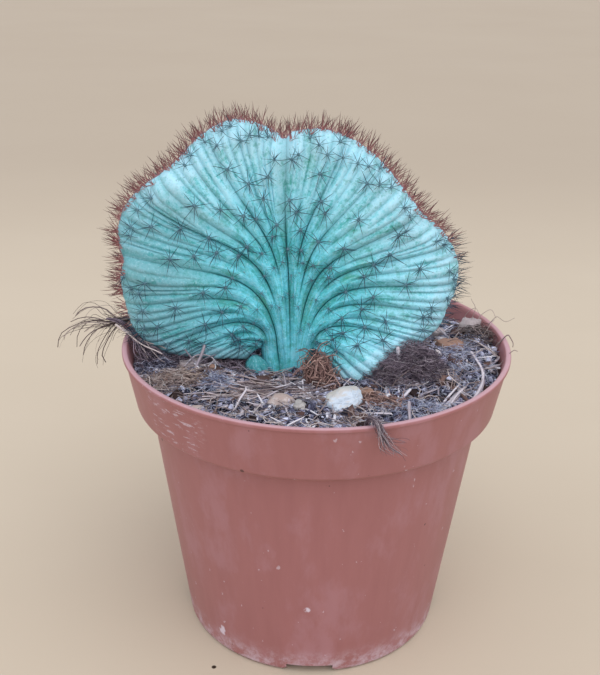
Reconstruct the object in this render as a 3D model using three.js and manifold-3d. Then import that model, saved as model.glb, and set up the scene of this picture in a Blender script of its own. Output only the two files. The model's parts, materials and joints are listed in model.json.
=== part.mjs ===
// A crested cactus in a plastic nursery pot, in millimetres, +Z up.
// The origin is the middle of the pot's underside. The crest's broad front faces -Y.
// The crest is one ribbed fan with its areole spines; the red spine band runs along its growing edge.
import * as THREE from "three";
import { mergeVertices } from "three/addons/utils/BufferGeometryUtils.js";
import Module from "manifold-3d";

const wasm = await Module();
wasm.setup();

// Driving dimensions
const POT_HEIGHT = 103.5;
const RIM_RADIUS = 65;
const BAND_RADIUS = 61;
const BAND_BOTTOM = 85;
const BODY_TOP_RADIUS = 56;
const BODY_TOP = 81.5;
const BASE_RADIUS = 45;
const WALL = 1.2;
const LIP = 1.6;
const FLOOR_TOP = 4;
const FOOT_HEIGHT = 2.5;
const FOOT_INNER_RADIUS = 38;
const PAD_RADIUS = 14;
const NOTCH_WIDTH = 15;
const NOTCHES = 4;
const DRAIN_RADIUS = 3.5;
const DRAIN_CIRCLE = 26;
const DRAINS = 8;
const POT_SIDES = 52;

const CLEARANCE = 0.3;
const SEAT_CLEARANCE = 0.4;

const MIX_LEVEL = 95.5;
const MIX_SIDES = 36;
const MIX_RINGS = [0.9, 0.77, 0.63, 0.49, 0.35, 0.21, 0.1];
const MIX_LUMP = 0.9;

const NECK = new THREE.Vector3(-8.5, -2, 84);
const NECK_HALF_WIDTH = 5;
const NECK_FLARE = 2.5;
const NECK_HALF_DEPTH = 9;
const NECK_SIDE_RISE = 14;
const NECK_SIDE_SHARE = 0.3;
const NECK_SHARE = 0.3;
const PLATE_HALF_DEPTH = 7.4;
const EDGE_HALF_DEPTH = 6.2;
const CROWN_LENGTH = 6.5;
const RADIATE_FROM = new THREE.Vector3(-13, -2, 116);
const RISE_SHARE = 0.77;
const RIBS = 88;
const GROOVE_DEPTH = 1.5;
// Grooves that part the large ribs, numbered from the left: where each starts, and its strength
const LEADING_GROOVES = {
  0: [0, 0.6], 4: [0.16, 0.8], 7: [0.34, 0.6], 10: [0.14, 1], 13: [0.42, 0.7], 16: [0.36, 0.8],
  19: [0.5, 0.6], 21: [0, 1.1], 24: [0.46, 0.7], 26: [0.56, 0.6], 28: [0.2, 1], 31: [0.44, 0.8],
  34: [0.38, 0.85], 37: [0.26, 0.9], 40: [0.46, 0.7], 42: [0.54, 0.6], 45: [0.06, 1.1],
  48: [0.52, 0.6], 51: [0.3, 0.9], 54: [0.52, 0.6], 56: [0.24, 0.85], 58: [0.56, 0.6],
  61: [0.12, 1], 63: [0.52, 0.6], 66: [0.32, 0.9], 68: [0.54, 0.6], 70: [0.18, 1],
  73: [0.34, 0.85], 76: [0.46, 0.7], 78: [0.16, 1], 81: [0.38, 0.7], 84: [0.22, 0.9], 88: [0, 0.6],
};
const APPROACH_SHARE = 0.45;
const LINE_BEND = 1.08;
const END_SHARE = 0.035;
const ROOM_MARGIN = 0.82;
const ROOM_RIB_STEP = 1;
const SLOPE_STEP = 0.004;

// The growing edge of the crest, from its left end under the mix, over the top, to its right end
const GROWING_EDGE = [
  [-23, -7, 98.5],
  [-29, -7, 98.8],
  [-36, -5.5, 97.6],
  [-44, -3, 97],
  [-54, -2, 100],
  [-61, -3, 107],
  [-63.4, -4, 116],
  [-64.6, -4, 125],
  [-63.2, -6, 131.7],
  [-65, -3, 139],
  [-63.5, -1, 147],
  [-58, 0, 154.2],
  [-50.4, -3, 160.2],
  [-45, -2, 164.6],
  [-37.4, 0, 172.2],
  [-28, 1, 176.9],
  [-19.4, 0, 176],
  [-14.5, -1, 174],
  [-11.5, -1.8, 172],
  [-8.4, -1.2, 174],
  [0.8, 0, 174.6],
  [9.7, 1, 171.8],
  [18.8, -1, 165.7],
  [27, -3, 156.6],
  [33.8, -2, 148.3],
  [41.1, 0, 141.5],
  [45.5, 0, 133.6],
  [46.2, -1, 125],
  [43.6, -2, 117],
  [40.8, -3, 110],
  [35, -5, 104.8],
  [29, -9, 101],
  [21, -14, 96.5],
  [14, -14, 93.5],
  [6, -10, 94],
];

const AREOLE_ROWS = [1.5, 2.4, 3.2, 3.8, 4.5, 5.2, 5.8];
const AREOLE_STAGGER = 3;
const AREOLE_SPINE_LENGTH = 4.6;
const AREOLE_SPINE_RADIUS = 0.42;
const BAND_SPINES = 230;
const BAND_SPINE_LENGTH = 3.7;
const BAND_SPINE_RADIUS = 0.38;
const BAND_HEIGHT = 0.9;
const BAND_ABOVE_MIX = 4;
const BAND_CLEARANCE = 0.55;

// A repeatable number from 0 to 1 for each pair of whole numbers
function chance(i, j) {
  const n = Math.sin(i * 12.9898 + j * 78.233) * 43758.5453;
  return n - Math.floor(n);
}

// The same, from -1 to 1
const sway = (i, j) => 2 * chance(i, j) - 1;
const clamp01 = (x) => Math.min(1, Math.max(0, x));
const mix = (a, b, share) => a + (b - a) * share;

function smooth(from, to, x) {
  const s = clamp01((x - from) / (to - from));
  return s * s * (3 - 2 * s);
}

const bump = (x, y, cx, cy, rx, ry) =>
  Math.exp(-(((x - cx) / rx) ** 2) - ((y - cy) / ry) ** 2);

// Closed solids from surfaces, and back

// A surface whose triangles share their corners
function merged(geometry) {
  const bare = geometry.index ? geometry.toNonIndexed() : geometry.clone();
  const only = new THREE.BufferGeometry();
  only.setAttribute("position", bare.getAttribute("position"));
  return mergeVertices(only, 1e-3);
}

function solidOf(geometry) {
  const surface = merged(geometry);
  const corners = [];
  const index = surface.index.array;
  for (let i = 0; i < index.length; i += 3) {
    const [a, b, c] = index.slice(i, i + 3);
    if (a !== b && b !== c && a !== c) corners.push(a, b, c);
  }
  return new wasm.Manifold(
    new wasm.Mesh({
      numProp: 3,
      vertProperties: new Float32Array(surface.attributes.position.array),
      triVerts: new Uint32Array(corners),
    }),
  );
}

function gridSurface({ points, triangles }) {
  const geometry = new THREE.BufferGeometry();
  const flat = new Float32Array(points.length * 3);
  points.forEach((p, i) => p.toArray(flat, 3 * i));
  geometry.setAttribute("position", new THREE.BufferAttribute(flat, 3));
  geometry.setIndex(triangles.flat());
  return geometry;
}

const gridSolid = (grid) => solidOf(gridSurface(grid));

// A grid's surface moved outwards by a margin
function swollen(grid, margin) {
  const surface = merged(gridSurface(grid));
  surface.computeVertexNormals();
  const position = surface.getAttribute("position");
  const normal = surface.getAttribute("normal");
  for (let i = 0; i < position.count; i++) {
    const p = new THREE.Vector3().fromBufferAttribute(position, i);
    const out = new THREE.Vector3().fromBufferAttribute(normal, i);
    p.addScaledVector(out, margin);
    position.setXYZ(i, p.x, p.y, p.z);
  }
  return solidOf(surface);
}

function geometryOf(solid) {
  const made = solid.getMesh();
  const geometry = new THREE.BufferGeometry();
  const positions = new Float32Array(made.numVert * 3);
  for (let i = 0; i < made.numVert; i++) {
    const from = i * made.numProp;
    positions.set(made.vertProperties.subarray(from, from + 3), i * 3);
  }
  geometry.setAttribute("position", new THREE.BufferAttribute(positions, 3));
  geometry.setIndex(new THREE.BufferAttribute(made.triVerts, 1));
  geometry.computeVertexNormals();
  return geometry;
}

function largestPiece(solid) {
  const pieces = solid.decompose();
  pieces.sort((a, b) => b.volume() - a.volume());
  return pieces[0];
}

function joinAll(solids) {
  return wasm.Manifold.union(solids);
}

// A revolved solid from a profile of [radius, height] pairs that starts and ends on the axis
function revolved(profile, sides) {
  const points = profile.map(([r, z]) => new THREE.Vector2(r, z));
  const lathe = new THREE.LatheGeometry(points, sides);
  lathe.rotateX(Math.PI / 2);
  return solidOf(lathe);
}

// A closed tube of a few sides along a smooth curve, longer at both ends by an extra
function strand(points, radius, sides, steps, extra = 0) {
  const knots = points.map((p) => new THREE.Vector3(...p));
  for (const line of [knots, [...knots].reverse()]) {
    const [end, next] = line;
    end.add(end.clone().sub(next).setLength(extra));
  }
  const curve = new THREE.CatmullRomCurve3(knots);
  const section = new THREE.Shape();
  for (let i = 0; i < sides; i++) {
    const turn = (2 * Math.PI * i) / sides;
    const x = radius * Math.cos(turn);
    const y = radius * Math.sin(turn);
    if (i === 0) section.moveTo(x, y);
    else section.lineTo(x, y);
  }
  section.closePath();
  const options = { steps, curveSegments: 1, extrudePath: curve };
  options.bevelEnabled = false;
  return solidOf(new THREE.ExtrudeGeometry(section, options));
}

// A three-sided cone from a root point along a direction, to try a spine's place with
function spineCone(root, direction, length, radius) {
  const cone = new THREE.ConeGeometry(radius, length, 3, 1);
  cone.translate(0, length / 2, 0);
  const up = new THREE.Vector3(0, 1, 0);
  cone.applyQuaternion(new THREE.Quaternion().setFromUnitVectors(up, direction));
  cone.translate(root.x, root.y, root.z);
  return solidOf(cone);
}

// The pot

// Inner radius of the pot's wall at a height, which the mix fills
function innerRadius(z) {
  const bodyInner = BODY_TOP_RADIUS - WALL;
  if (z <= BODY_TOP + 1) {
    return mix(BASE_RADIUS - WALL, bodyInner, z / (BODY_TOP + 1));
  }
  const bandInner = BAND_RADIUS - WALL;
  if (z <= BAND_BOTTOM + 1) {
    return mix(bodyInner, bandInner, (z - BODY_TOP - 1) / (BAND_BOTTOM - BODY_TOP));
  }
  const share = (z - BAND_BOTTOM - 1) / (POT_HEIGHT - BAND_BOTTOM - 1);
  return mix(bandInner, RIM_RADIUS - LIP - 0.4, share);
}

function potSolid() {
  const lipBottom = POT_HEIGHT - 1.3;
  const bandTopRadius = RIM_RADIUS - 0.7;
  const outside = [
    [0, 0],
    [PAD_RADIUS, 0],
    [PAD_RADIUS + 1.5, FOOT_HEIGHT],
    [FOOT_INNER_RADIUS - 1.5, FOOT_HEIGHT],
    [FOOT_INNER_RADIUS, 0],
    [BASE_RADIUS - 1, 0],
    [BASE_RADIUS + 0.1, 1],
    [BODY_TOP_RADIUS, BODY_TOP],
    [BODY_TOP_RADIUS + 1.2, BODY_TOP + 1.2],
    [BAND_RADIUS - 0.6, BAND_BOTTOM - 0.7],
    [BAND_RADIUS, BAND_BOTTOM],
    [bandTopRadius, lipBottom - 0.2],
    [RIM_RADIUS, lipBottom],
    [RIM_RADIUS, POT_HEIGHT - 0.3],
    [RIM_RADIUS - 0.4, POT_HEIGHT],
  ];
  const inside = [
    [RIM_RADIUS - LIP, POT_HEIGHT],
    [innerRadius(POT_HEIGHT - 1), POT_HEIGHT - 1],
    [innerRadius(BAND_BOTTOM + 1), BAND_BOTTOM + 1],
    [innerRadius(BODY_TOP + 1), BODY_TOP + 1],
    [innerRadius(FLOOR_TOP + 1), FLOOR_TOP + 1],
    [innerRadius(FLOOR_TOP) - 1, FLOOR_TOP],
    [0, FLOOR_TOP],
  ];
  let pot = revolved([...outside, ...inside], POT_SIDES);
  for (let i = 0; i < NOTCHES / 2; i++) {
    const length = 2 * BASE_RADIUS + 4;
    const gap = FOOT_INNER_RADIUS - 2;
    for (const side of [-1, 1]) {
      const reach = length / 2 - gap;
      const notch = new THREE.BoxGeometry(NOTCH_WIDTH, reach, 2 * FOOT_HEIGHT);
      notch.translate(0, side * (gap + reach / 2), 0);
      notch.rotateZ((i * 2 * Math.PI) / NOTCHES);
      pot = pot.subtract(solidOf(notch));
    }
  }
  for (let i = 0; i < DRAINS; i++) {
    const drain = new THREE.CylinderGeometry(DRAIN_RADIUS, DRAIN_RADIUS, 12, 10);
    drain.rotateX(Math.PI / 2);
    const turn = ((i + 0.5) * 2 * Math.PI) / DRAINS;
    drain.translate(
      DRAIN_CIRCLE * Math.cos(turn),
      DRAIN_CIRCLE * Math.sin(turn),
      0,
    );
    pot = pot.subtract(solidOf(drain));
  }
  return pot;
}

// The crest

// A smooth curve through points, followed by its share of the whole chord length
function throughPoints(list) {
  const points = list.map((p) => new THREE.Vector3(...p));
  const along = [0];
  for (let i = 1; i < points.length; i++) {
    along.push(along[i - 1] + points[i].distanceTo(points[i - 1]));
  }
  const last = points.length - 1;
  const slopes = points.map((_, i) => {
    const before = Math.max(i - 1, 0);
    const after = Math.min(i + 1, last);
    const run = along[after] - along[before];
    return points[after].clone().sub(points[before]).divideScalar(run);
  });
  return (share) => {
    const at = clamp01(share) * along[last];
    let i = 0;
    while (i < last - 1 && at > along[i + 1]) i++;
    const step = along[i + 1] - along[i];
    const u = (at - along[i]) / step;
    const u2 = u * u;
    const u3 = u2 * u;
    return new THREE.Vector3()
      .addScaledVector(points[i], 2 * u3 - 3 * u2 + 1)
      .addScaledVector(slopes[i], (u3 - 2 * u2 + u) * step)
      .addScaledVector(points[i + 1], 3 * u2 - 2 * u3)
      .addScaledVector(slopes[i + 1], (u3 - u2) * step);
  };
}

const edgeAt = throughPoints(GROWING_EDGE);

// Where the lines of growth leave the neck: low in the middle, higher and wider at its two sides
function neckAt(t) {
  const climb = 1 - smooth(0, NECK_SIDE_SHARE, Math.min(t, 1 - t));
  const offset = (2 * t - 1) * NECK_HALF_WIDTH + Math.sign(2 * t - 1) * NECK_FLARE * climb;
  return new THREE.Vector3(NECK.x + offset, NECK.y, NECK.z + NECK_SIDE_RISE * climb);
}

// One line of growth, from the neck up and over to the growing edge
function growthLine(t) {
  const start = neckAt(t);
  const end = edgeAt(t);
  const reach = start.distanceTo(end);
  const outward = end.clone().sub(RADIATE_FROM).normalize();
  const rise = start.clone();
  rise.z += RISE_SHARE * reach;
  const approach = end.clone().addScaledVector(outward, -APPROACH_SHARE * reach);
  return new THREE.CubicBezierCurve3(start, rise, approach, end);
}

function lineLength(t) {
  return neckAt(t).distanceTo(edgeAt(t)) * LINE_BEND;
}

// Where the flat of the plate ends and its round crown begins, as a share of the line
function shoulder(t) {
  const length = lineLength(t);
  return 1 - Math.min(CROWN_LENGTH, 0.4 * length) / length;
}

const midPoint = (t, v) => growthLine(clamp01(t)).getPoint(clamp01(v));

// The direction square to the plate, towards the front. At its neck and two ends it is straight ahead.
function facing(t, v) {
  const step = SLOPE_STEP;
  const across = midPoint(t + step, v).sub(midPoint(t - step, v));
  const along = midPoint(t, v + step).sub(midPoint(t, v - step));
  const square = across.cross(along).normalize();
  const settled = smooth(0.01, 0.09, Math.min(t, 1 - t)) * smooth(NECK_SHARE, 1, v);
  return new THREE.Vector3(0, -1, 0).lerp(square, settled).normalize();
}

// How far up the line groove k starts, and its strength. The small ribs fork near the edge.
function grooveStart(k) {
  return LEADING_GROOVES[k] ?? [0.62 + 0.22 * chance(k, 3), 0.55 + 0.2 * chance(k, 7)];
}

function groovePosition(k) {
  const shift = k === 0 || k === RIBS ? 0 : 0.22 * sway(k, 4);
  return (k + shift) / RIBS;
}

function grooveOpen(k, v) {
  const [start, strength] = grooveStart(k);
  return strength * smooth(start - 0.02, start + 0.16, v);
}

// Rounds the plate off at both ends of the growing edge
function endRounding(t) {
  const share = clamp01(Math.min(t, 1 - t) / END_SHARE);
  return Math.sqrt(1 - (1 - share) ** 2);
}

function halfDepth(t, v) {
  const roundNeck = NECK_HALF_DEPTH * Math.sqrt(1 - (2 * t - 1) ** 2 * 0.98);
  const plate = mix(PLATE_HALF_DEPTH, EDGE_HALF_DEPTH, v);
  return mix(roundNeck, plate, smooth(0, 0.4, v)) * endRounding(t);
}

// A point of the skin, sunk below the ridges by a groove or held off them by a margin.
// Turn is 0 on the flat of the plate and 90 degrees at the top of its crown.
function skin(t, flat, turn, side, sunk, margin) {
  const start = shoulder(t);
  const v = turn > 0 ? mix(start, 1, Math.sin(turn)) : flat * start;
  const level = Math.cos(turn);
  const depth = (halfDepth(t, v) - sunk) * level + margin * Math.sqrt(level);
  const grown = (margin - 0.6 * sunk) * Math.sin(turn);
  return midPoint(t, v)
    .addScaledVector(facing(t, v), side * depth)
    .addScaledVector(growthLine(t).getTangent(1), grown);
}

const FLAT_ROWS = [0, 0.17, 0.33, 0.49, 0.66, 0.83, 1];
const CROWN_TURNS = [35, 65, 90].map(THREE.MathUtils.degToRad);

// The rows of a slice through the plate: up the front, over the crown and down the back
function sliceRows() {
  const rows = FLAT_ROWS.map((flat) => ({ flat, turn: 0 }));
  rows.push(...CROWN_TURNS.map((turn) => ({ flat: 1, turn })));
  const front = rows.map((row) => ({ ...row, side: 1 }));
  const back = rows.slice(0, -1).map((row) => ({ ...row, side: -1 }));
  return [...front, ...back.reverse()];
}

// Triangles between neighbouring slices of the same count of points
function wrap(slices, high) {
  const triangles = [];
  for (let i = 0; i + 1 < slices; i++) {
    for (let j = 0; j < high; j++) {
      const a = i * high + j;
      const b = a + high;
      const c = i * high + ((j + 1) % high);
      const d = c + high;
      triangles.push([a, b, d], [a, d, c]);
    }
  }
  return triangles;
}

// The slices of the crest: one in each groove and one on the ridge after it
function ribColumns() {
  const columns = [];
  for (let k = 0; k <= RIBS; k++) {
    columns.push({ t: groovePosition(k), groove: k });
    if (k === RIBS) break;
    const middle = (groovePosition(k) + groovePosition(k + 1)) / 2;
    columns.push({ t: middle, groove: -1 });
  }
  return columns;
}

// The slices of the room that the crest needs in the mix, which has no grooves
function roomColumns() {
  const columns = [];
  for (let k = 0; k <= RIBS; k += ROOM_RIB_STEP) columns.push({ t: k / RIBS, groove: -1 });
  return columns;
}

function crestShell(columns) {
  const rows = sliceRows();
  const points = [];
  for (const { t, groove } of columns) {
    for (const { flat, turn, side } of rows) {
      const open = groove < 0 ? 0 : grooveOpen(groove, flat);
      const fade = turn === CROWN_TURNS[2] ? 0.4 : 1;
      const sunk = open * GROOVE_DEPTH * fade * endRounding(t);
      points.push(skin(t, flat, turn, side, sunk, 0));
    }
  }
  return { points, triangles: wrap(columns.length, rows.length), high: rows.length };
}

// Where a place on a shell lies. Column and row count its slices and rows, with fractions.
function placeOn({ points, high }, column, row) {
  const i = Math.floor(column);
  const j = Math.floor(row);
  const u = column - i;
  const w = row - j;
  const a = i * high + j;
  const d = a + high + 1;
  const upper = w > u;
  const corner = points[upper ? a + 1 : a + high];
  const shares = upper ? [1 - w, u, w - u] : [1 - u, w, u - w];
  const root = new THREE.Vector3();
  [points[a], points[d], corner].forEach((p, n) => root.addScaledVector(p, shares[n]));
  return { triangle: 2 * a + (upper ? 1 : 0), root };
}

// The three corners of a spine's foot, moved inwards until they fit in their triangle
function footIn(corners, root, radius) {
  const triangle = new THREE.Triangle(...corners);
  const normal = triangle.getNormal(new THREE.Vector3());
  const middle = triangle.getMidpoint(new THREE.Vector3());
  const first = corners[1].clone().sub(corners[0]).normalize();
  const second = new THREE.Vector3().crossVectors(normal, first);
  const shares = new THREE.Vector3();
  for (let step = 0; step < 6; step++) {
    const centre = root.clone().lerp(middle, step * 0.14);
    const foot = [0, 1, 2].map((n) => {
      const turn = (2 * Math.PI * n) / 3 + 0.5;
      return centre
        .clone()
        .addScaledVector(first, radius * Math.cos(turn))
        .addScaledVector(second, radius * Math.sin(turn));
    });
    const inside = foot.every((p) => {
      triangle.getBarycoord(p, shares);
      return Math.min(shares.x, shares.y, shares.z) > 0.03;
    });
    if (inside) return { foot, centre, normal, first, second };
  }
  return null;
}

// Draws spines out of a shell's own triangles, so that each grows from the skin in one piece
function plantSpines(shell, wishes, keepClear) {
  const own = gridSolid(shell);
  const planted = new Map();
  const placed = [];
  for (const { column, row, direction, length, radius } of wishes) {
    const { triangle, root } = placeOn(shell, column, row);
    const corners = shell.triangles[triangle].map((n) => shell.points[n]);
    const fitted = footIn(corners, root, radius);
    if (!fitted || fitted.normal.dot(direction) < 0.2) continue;
    const others = planted.get(triangle) ?? [];
    const crowded = others.some((o) => o.centre.distanceTo(fitted.centre) < 2.4 * radius);
    const tip = fitted.centre.clone().addScaledVector(direction, length);
    const start = fitted.centre.clone().addScaledVector(direction, 0.35 * length);
    const near = placed.some((o) => tooNear(o, { start, tip, from: fitted.centre }, radius));
    if (crowded || near) continue;
    const shaft = spineCone(start, direction, 0.65 * length + 0.1, radius * 0.8);
    const whole = spineCone(fitted.centre, direction, length + 0.2, radius * 1.5);
    if (touches(shaft, [own]) || touches(whole, keepClear)) continue;
    placed.push({ start, tip, from: fitted.centre });
    planted.set(triangle, [...others, { ...fitted, tip }]);
  }
  const points = [...shell.points];
  const triangles = [];
  shell.triangles.forEach((corners, n) => {
    const feet = planted.get(n);
    if (feet) triangles.push(...openTriangle(points, corners, feet));
    else triangles.push(corners);
  });
  return gridSolid({ points, triangles });
}

// Whether two spines pass closer than their thickness, tried at points along both
function tooNear(one, other, radius) {
  if (one.tip.distanceTo(other.tip) > 14) return false;
  const at = (s, share) => s.from.clone().lerp(s.tip, share);
  for (let i = 1; i <= 6; i++) {
    for (let j = 1; j <= 6; j++) {
      if (at(one, i / 6).distanceTo(at(other, j / 6)) < 1.7 * radius) return true;
    }
  }
  return false;
}

// One triangle cut round its spines' feet, with the sides of the spines themselves
function openTriangle(points, corners, feet) {
  const { first, second } = feet[0];
  const origin = points[corners[0]];
  const flat = (p) => {
    const offset = p.clone().sub(origin);
    return new THREE.Vector2(offset.dot(first), offset.dot(second));
  };
  const ids = [...corners];
  const made = [];
  const holes = feet.map(({ foot, tip }) => {
    const from = points.length;
    points.push(...foot, tip);
    ids.push(from, from + 1, from + 2);
    for (let n = 0; n < 3; n++) {
      made.push([from + n, from + ((n + 1) % 3), from + 3]);
    }
    return foot.map(flat);
  });
  const outline = corners.map((n) => flat(points[n]));
  for (const [a, b, c] of THREE.ShapeUtils.triangulateShape(outline, holes)) {
    const [p, q, r] = [a, b, c].map((n) => flat(points[ids[n]]));
    const turn = q.clone().sub(p).cross(r.clone().sub(p));
    made.push(turn > 0 ? [ids[a], ids[b], ids[c]] : [ids[a], ids[c], ids[b]]);
  }
  return made;
}

// Areoles sit on the ridge of every second rib, at staggered steps up the line.
// Each gives three spines that leave the ridge to the left, to the right, and up or down.
function areoleSpines(shell) {
  const wishes = [];
  const backShift = shell.high - 1;
  for (let k = 3; k < RIBS - 2; k += 2) {
    const t = (groovePosition(k) + groovePosition(k + 1)) / 2;
    for (const [j, step] of AREOLE_ROWS.entries()) {
      if (((k - 1) / 2 + j) % AREOLE_STAGGER !== 0) continue;
      for (const side of [1, -1]) {
        const seed = 100 * k + j + (side > 0 ? 0 : 20000);
        const row = step + 0.3 * sway(seed, 10);
        const flat = FLAT_ROWS[Math.floor(row)];
        const root = skin(t, flat, 0, side, 0, 0);
        if (root.z < mixHeight(root.x, root.y) + 4) continue;
        const out = facing(t, flat * shoulder(t)).multiplyScalar(side);
        const up = growthLine(t).getTangent(flat);
        const across = new THREE.Vector3().crossVectors(out, up);
        const vertical = chance(seed, 3) < 0.5 ? -1 : 1;
        const leans = [
          [-0.3, -1, 0.25 * sway(seed, 4), 0],
          [0.3, 1, 0.25 * sway(seed, 5), 0.02],
          [0.3 * vertical, 0.2 * sway(seed, 6), vertical, 0.13 * vertical],
        ];
        for (const [n, [aside, sideways, upwards, higher]] of leans.entries()) {
          const place = row + higher;
          const direction = out
            .clone()
            .addScaledVector(across, -side * sideways)
            .addScaledVector(up, upwards)
            .normalize();
          wishes.push({
            column: 2 * k + 1 + aside,
            row: side > 0 ? place : backShift - place,
            direction,
            length: AREOLE_SPINE_LENGTH * (0.8 + 0.4 * chance(seed, n + 7)),
            radius: AREOLE_SPINE_RADIUS,
          });
        }
      }
    }
  }
  return wishes;
}

function touches(solid, others) {
  return others.some((other) => solid.intersect(other).volume() > 1e-4);
}

// The red band of spines along the growing edge

function bandEnds() {
  const above = [];
  for (let k = 0; k <= RIBS; k++) {
    const t = groovePosition(k);
    const crown = edgeAt(t);
    if (crown.z > mixHeight(crown.x, crown.y) + BAND_ABOVE_MIX) above.push(k);
  }
  return [above[0], above[above.length - 1]];
}

function bandStrip() {
  const [first, last] = bandEnds();
  const turns = [68, 79, 90].map(THREE.MathUtils.degToRad);
  const lower = BAND_CLEARANCE;
  const upper = lower + BAND_HEIGHT;
  const section = [
    [turns[0], 1, lower],
    [turns[1], 1, upper],
    [turns[2], 1, upper + 0.2],
    [turns[1], -1, upper],
    [turns[0], -1, lower],
    [turns[2], 1, lower],
  ];
  const points = [];
  for (let k = first; k <= last; k++) {
    const t = groovePosition(k);
    for (const [turn, side, margin] of section) {
      points.push(skin(t, 1, turn, side, 0, margin));
    }
  }
  const high = section.length;
  const count = last - first;
  const triangles = wrap(count + 1, high);
  // Each end is closed by four triangles that all reach the middle of the underside.
  const under = high - 1;
  for (let j = 0; j + 1 < under; j++) {
    triangles.push([j, j + 1, under]);
    const end = count * high;
    triangles.push([end + under, end + j + 1, end + j]);
  }
  return { points, triangles, high };
}

function bandSpines(shell) {
  const [first, last] = bandEnds();
  const count = last - first;
  const wishes = [];
  for (let i = 0; i < BAND_SPINES; i++) {
    const column = 0.15 + ((count - 0.3) * (i + 0.7 * chance(i, 21))) / BAND_SPINES;
    const row = 4 * (((i * 0.618) % 1) * 0.9 + 0.05);
    const t = groovePosition(first + Math.floor(column));
    const lean = (2 - row) / 2;
    const across = edgeAt(t + SLOPE_STEP).sub(edgeAt(t - SLOPE_STEP)).normalize();
    const direction = growthLine(t)
      .getTangent(1)
      .addScaledVector(facing(t, 1), lean * 0.75)
      .addScaledVector(across, 0.4 * sway(i, 23))
      .normalize();
    const length = BAND_SPINE_LENGTH * (0.75 + 0.5 * chance(i, 24));
    wishes.push({ column, row, direction, length, radius: BAND_SPINE_RADIUS });
  }
  return wishes;
}

// The potting mix

// Height of the mix's surface, with the mound on the right and the dip behind
function mixHeight(x, y) {
  const mound = 7 * bump(x, y, 34, -6, 13, 12);
  const rightRise = 5 * bump(x, y, 56, 8, 15, 22);
  const frontRise = 2 * bump(x, y, -5, -42, 34, 16);
  const frontEdge = 2 * bump(x, y, 5, -62, 40, 10);
  const leftMound = 3 * bump(x, y, -36, -21, 12, 8);
  const hollow = -1.2 * bump(x, y, -23, -12, 7, 5);
  return MIX_LEVEL + mound + rightRise + frontRise + frontEdge + leftMound + hollow;
}

function mixSolid() {
  const points = [];
  const ring = (radius, z, jitter) => {
    for (let i = 0; i < MIX_SIDES; i++) {
      const turn = (2 * Math.PI * i) / MIX_SIDES;
      const x = radius * Math.cos(turn);
      const y = radius * Math.sin(turn);
      const height = z === null ? mixHeight(x, y) : z;
      const lump = jitter * MIX_LUMP * sway(i, Math.round(radius * 7));
      points.push(new THREE.Vector3(x, y, height + lump));
    }
  };
  // The mix's corners stay clear of the flats of the pot's wall.
  const fit = Math.cos(Math.PI / POT_SIDES);
  const wall = [
    [FLOOR_TOP + CLEARANCE, CLEARANCE + 1],
    [FLOOR_TOP + 1.5, CLEARANCE],
    [BODY_TOP + 1, CLEARANCE + 0.1],
    [BAND_BOTTOM + 1.7, CLEARANCE],
  ];
  for (const [z, inset] of wall) ring(innerRadius(z) * fit - inset, z, 0);
  for (let i = 0; i < MIX_SIDES; i++) {
    const turn = (2 * Math.PI * i) / MIX_SIDES;
    const [c, n] = [Math.cos(turn), Math.sin(turn)];
    const height = mixHeight(60 * c, 60 * n);
    const radius = innerRadius(height) * fit - CLEARANCE;
    points.push(new THREE.Vector3(radius * c, radius * n, height));
  }
  for (const share of MIX_RINGS) {
    ring(innerRadius(MIX_LEVEL) * share, null, 1);
  }
  const rings = points.length / MIX_SIDES;
  const bottom = points.length;
  points.push(new THREE.Vector3(0, 0, FLOOR_TOP + CLEARANCE));
  const top = points.length;
  points.push(new THREE.Vector3(0, 0, mixHeight(0, 0)));
  const triangles = [];
  for (let i = 0; i < MIX_SIDES; i++) {
    const next = (i + 1) % MIX_SIDES;
    triangles.push([bottom, next, i]);
    for (let j = 0; j + 1 < rings; j++) {
      const a = j * MIX_SIDES + i;
      const b = j * MIX_SIDES + next;
      const c = a + MIX_SIDES;
      const d = b + MIX_SIDES;
      triangles.push([a, b, d], [a, d, c]);
    }
    const last = (rings - 1) * MIX_SIDES;
    triangles.push([last + i, last + next, top]);
  }
  return gridSolid({ points, triangles });
}

// Stones and bark lie bedded in the mix. Each is [name, colour, centre, half sizes, turn, angular].
const LUMPS = [
  ["white_stone", 0xe3e0d8, [8.9, -36.6], [6.4, 4.2, 3.6], 48, false],
  ["tan_stone", 0xc9a88f, [-10.4, -37.5], [3.6, 2.6, 2.3], 10, false],
  ["grey_stone", 0xa9a29c, [-4.6, -40.2], [2.4, 1.8, 1.7], 80, false],
  ["orange_bark_chip", 0xb77a4e, [15.6, -27.6], [2.6, 1.7, 1.3], 35, true],
  ["amber_bark_chip", 0x9a6140, [45.5, 2], [4.2, 3.1, 1.6], 20, true],
  ["grey_bark_chunk", 0xa5958a, [53, 17], [4.6, 3.6, 2.6], 65, true],
  ["small_bark_chunk", 0x8f8078, [43.2, 18], [2.6, 2.2, 1.8], 15, true],
  ["dark_bark_strip", 0x5b4440, [-18, -18.6], [3.9, 1.5, 1.1], 4, true],
];

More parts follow.
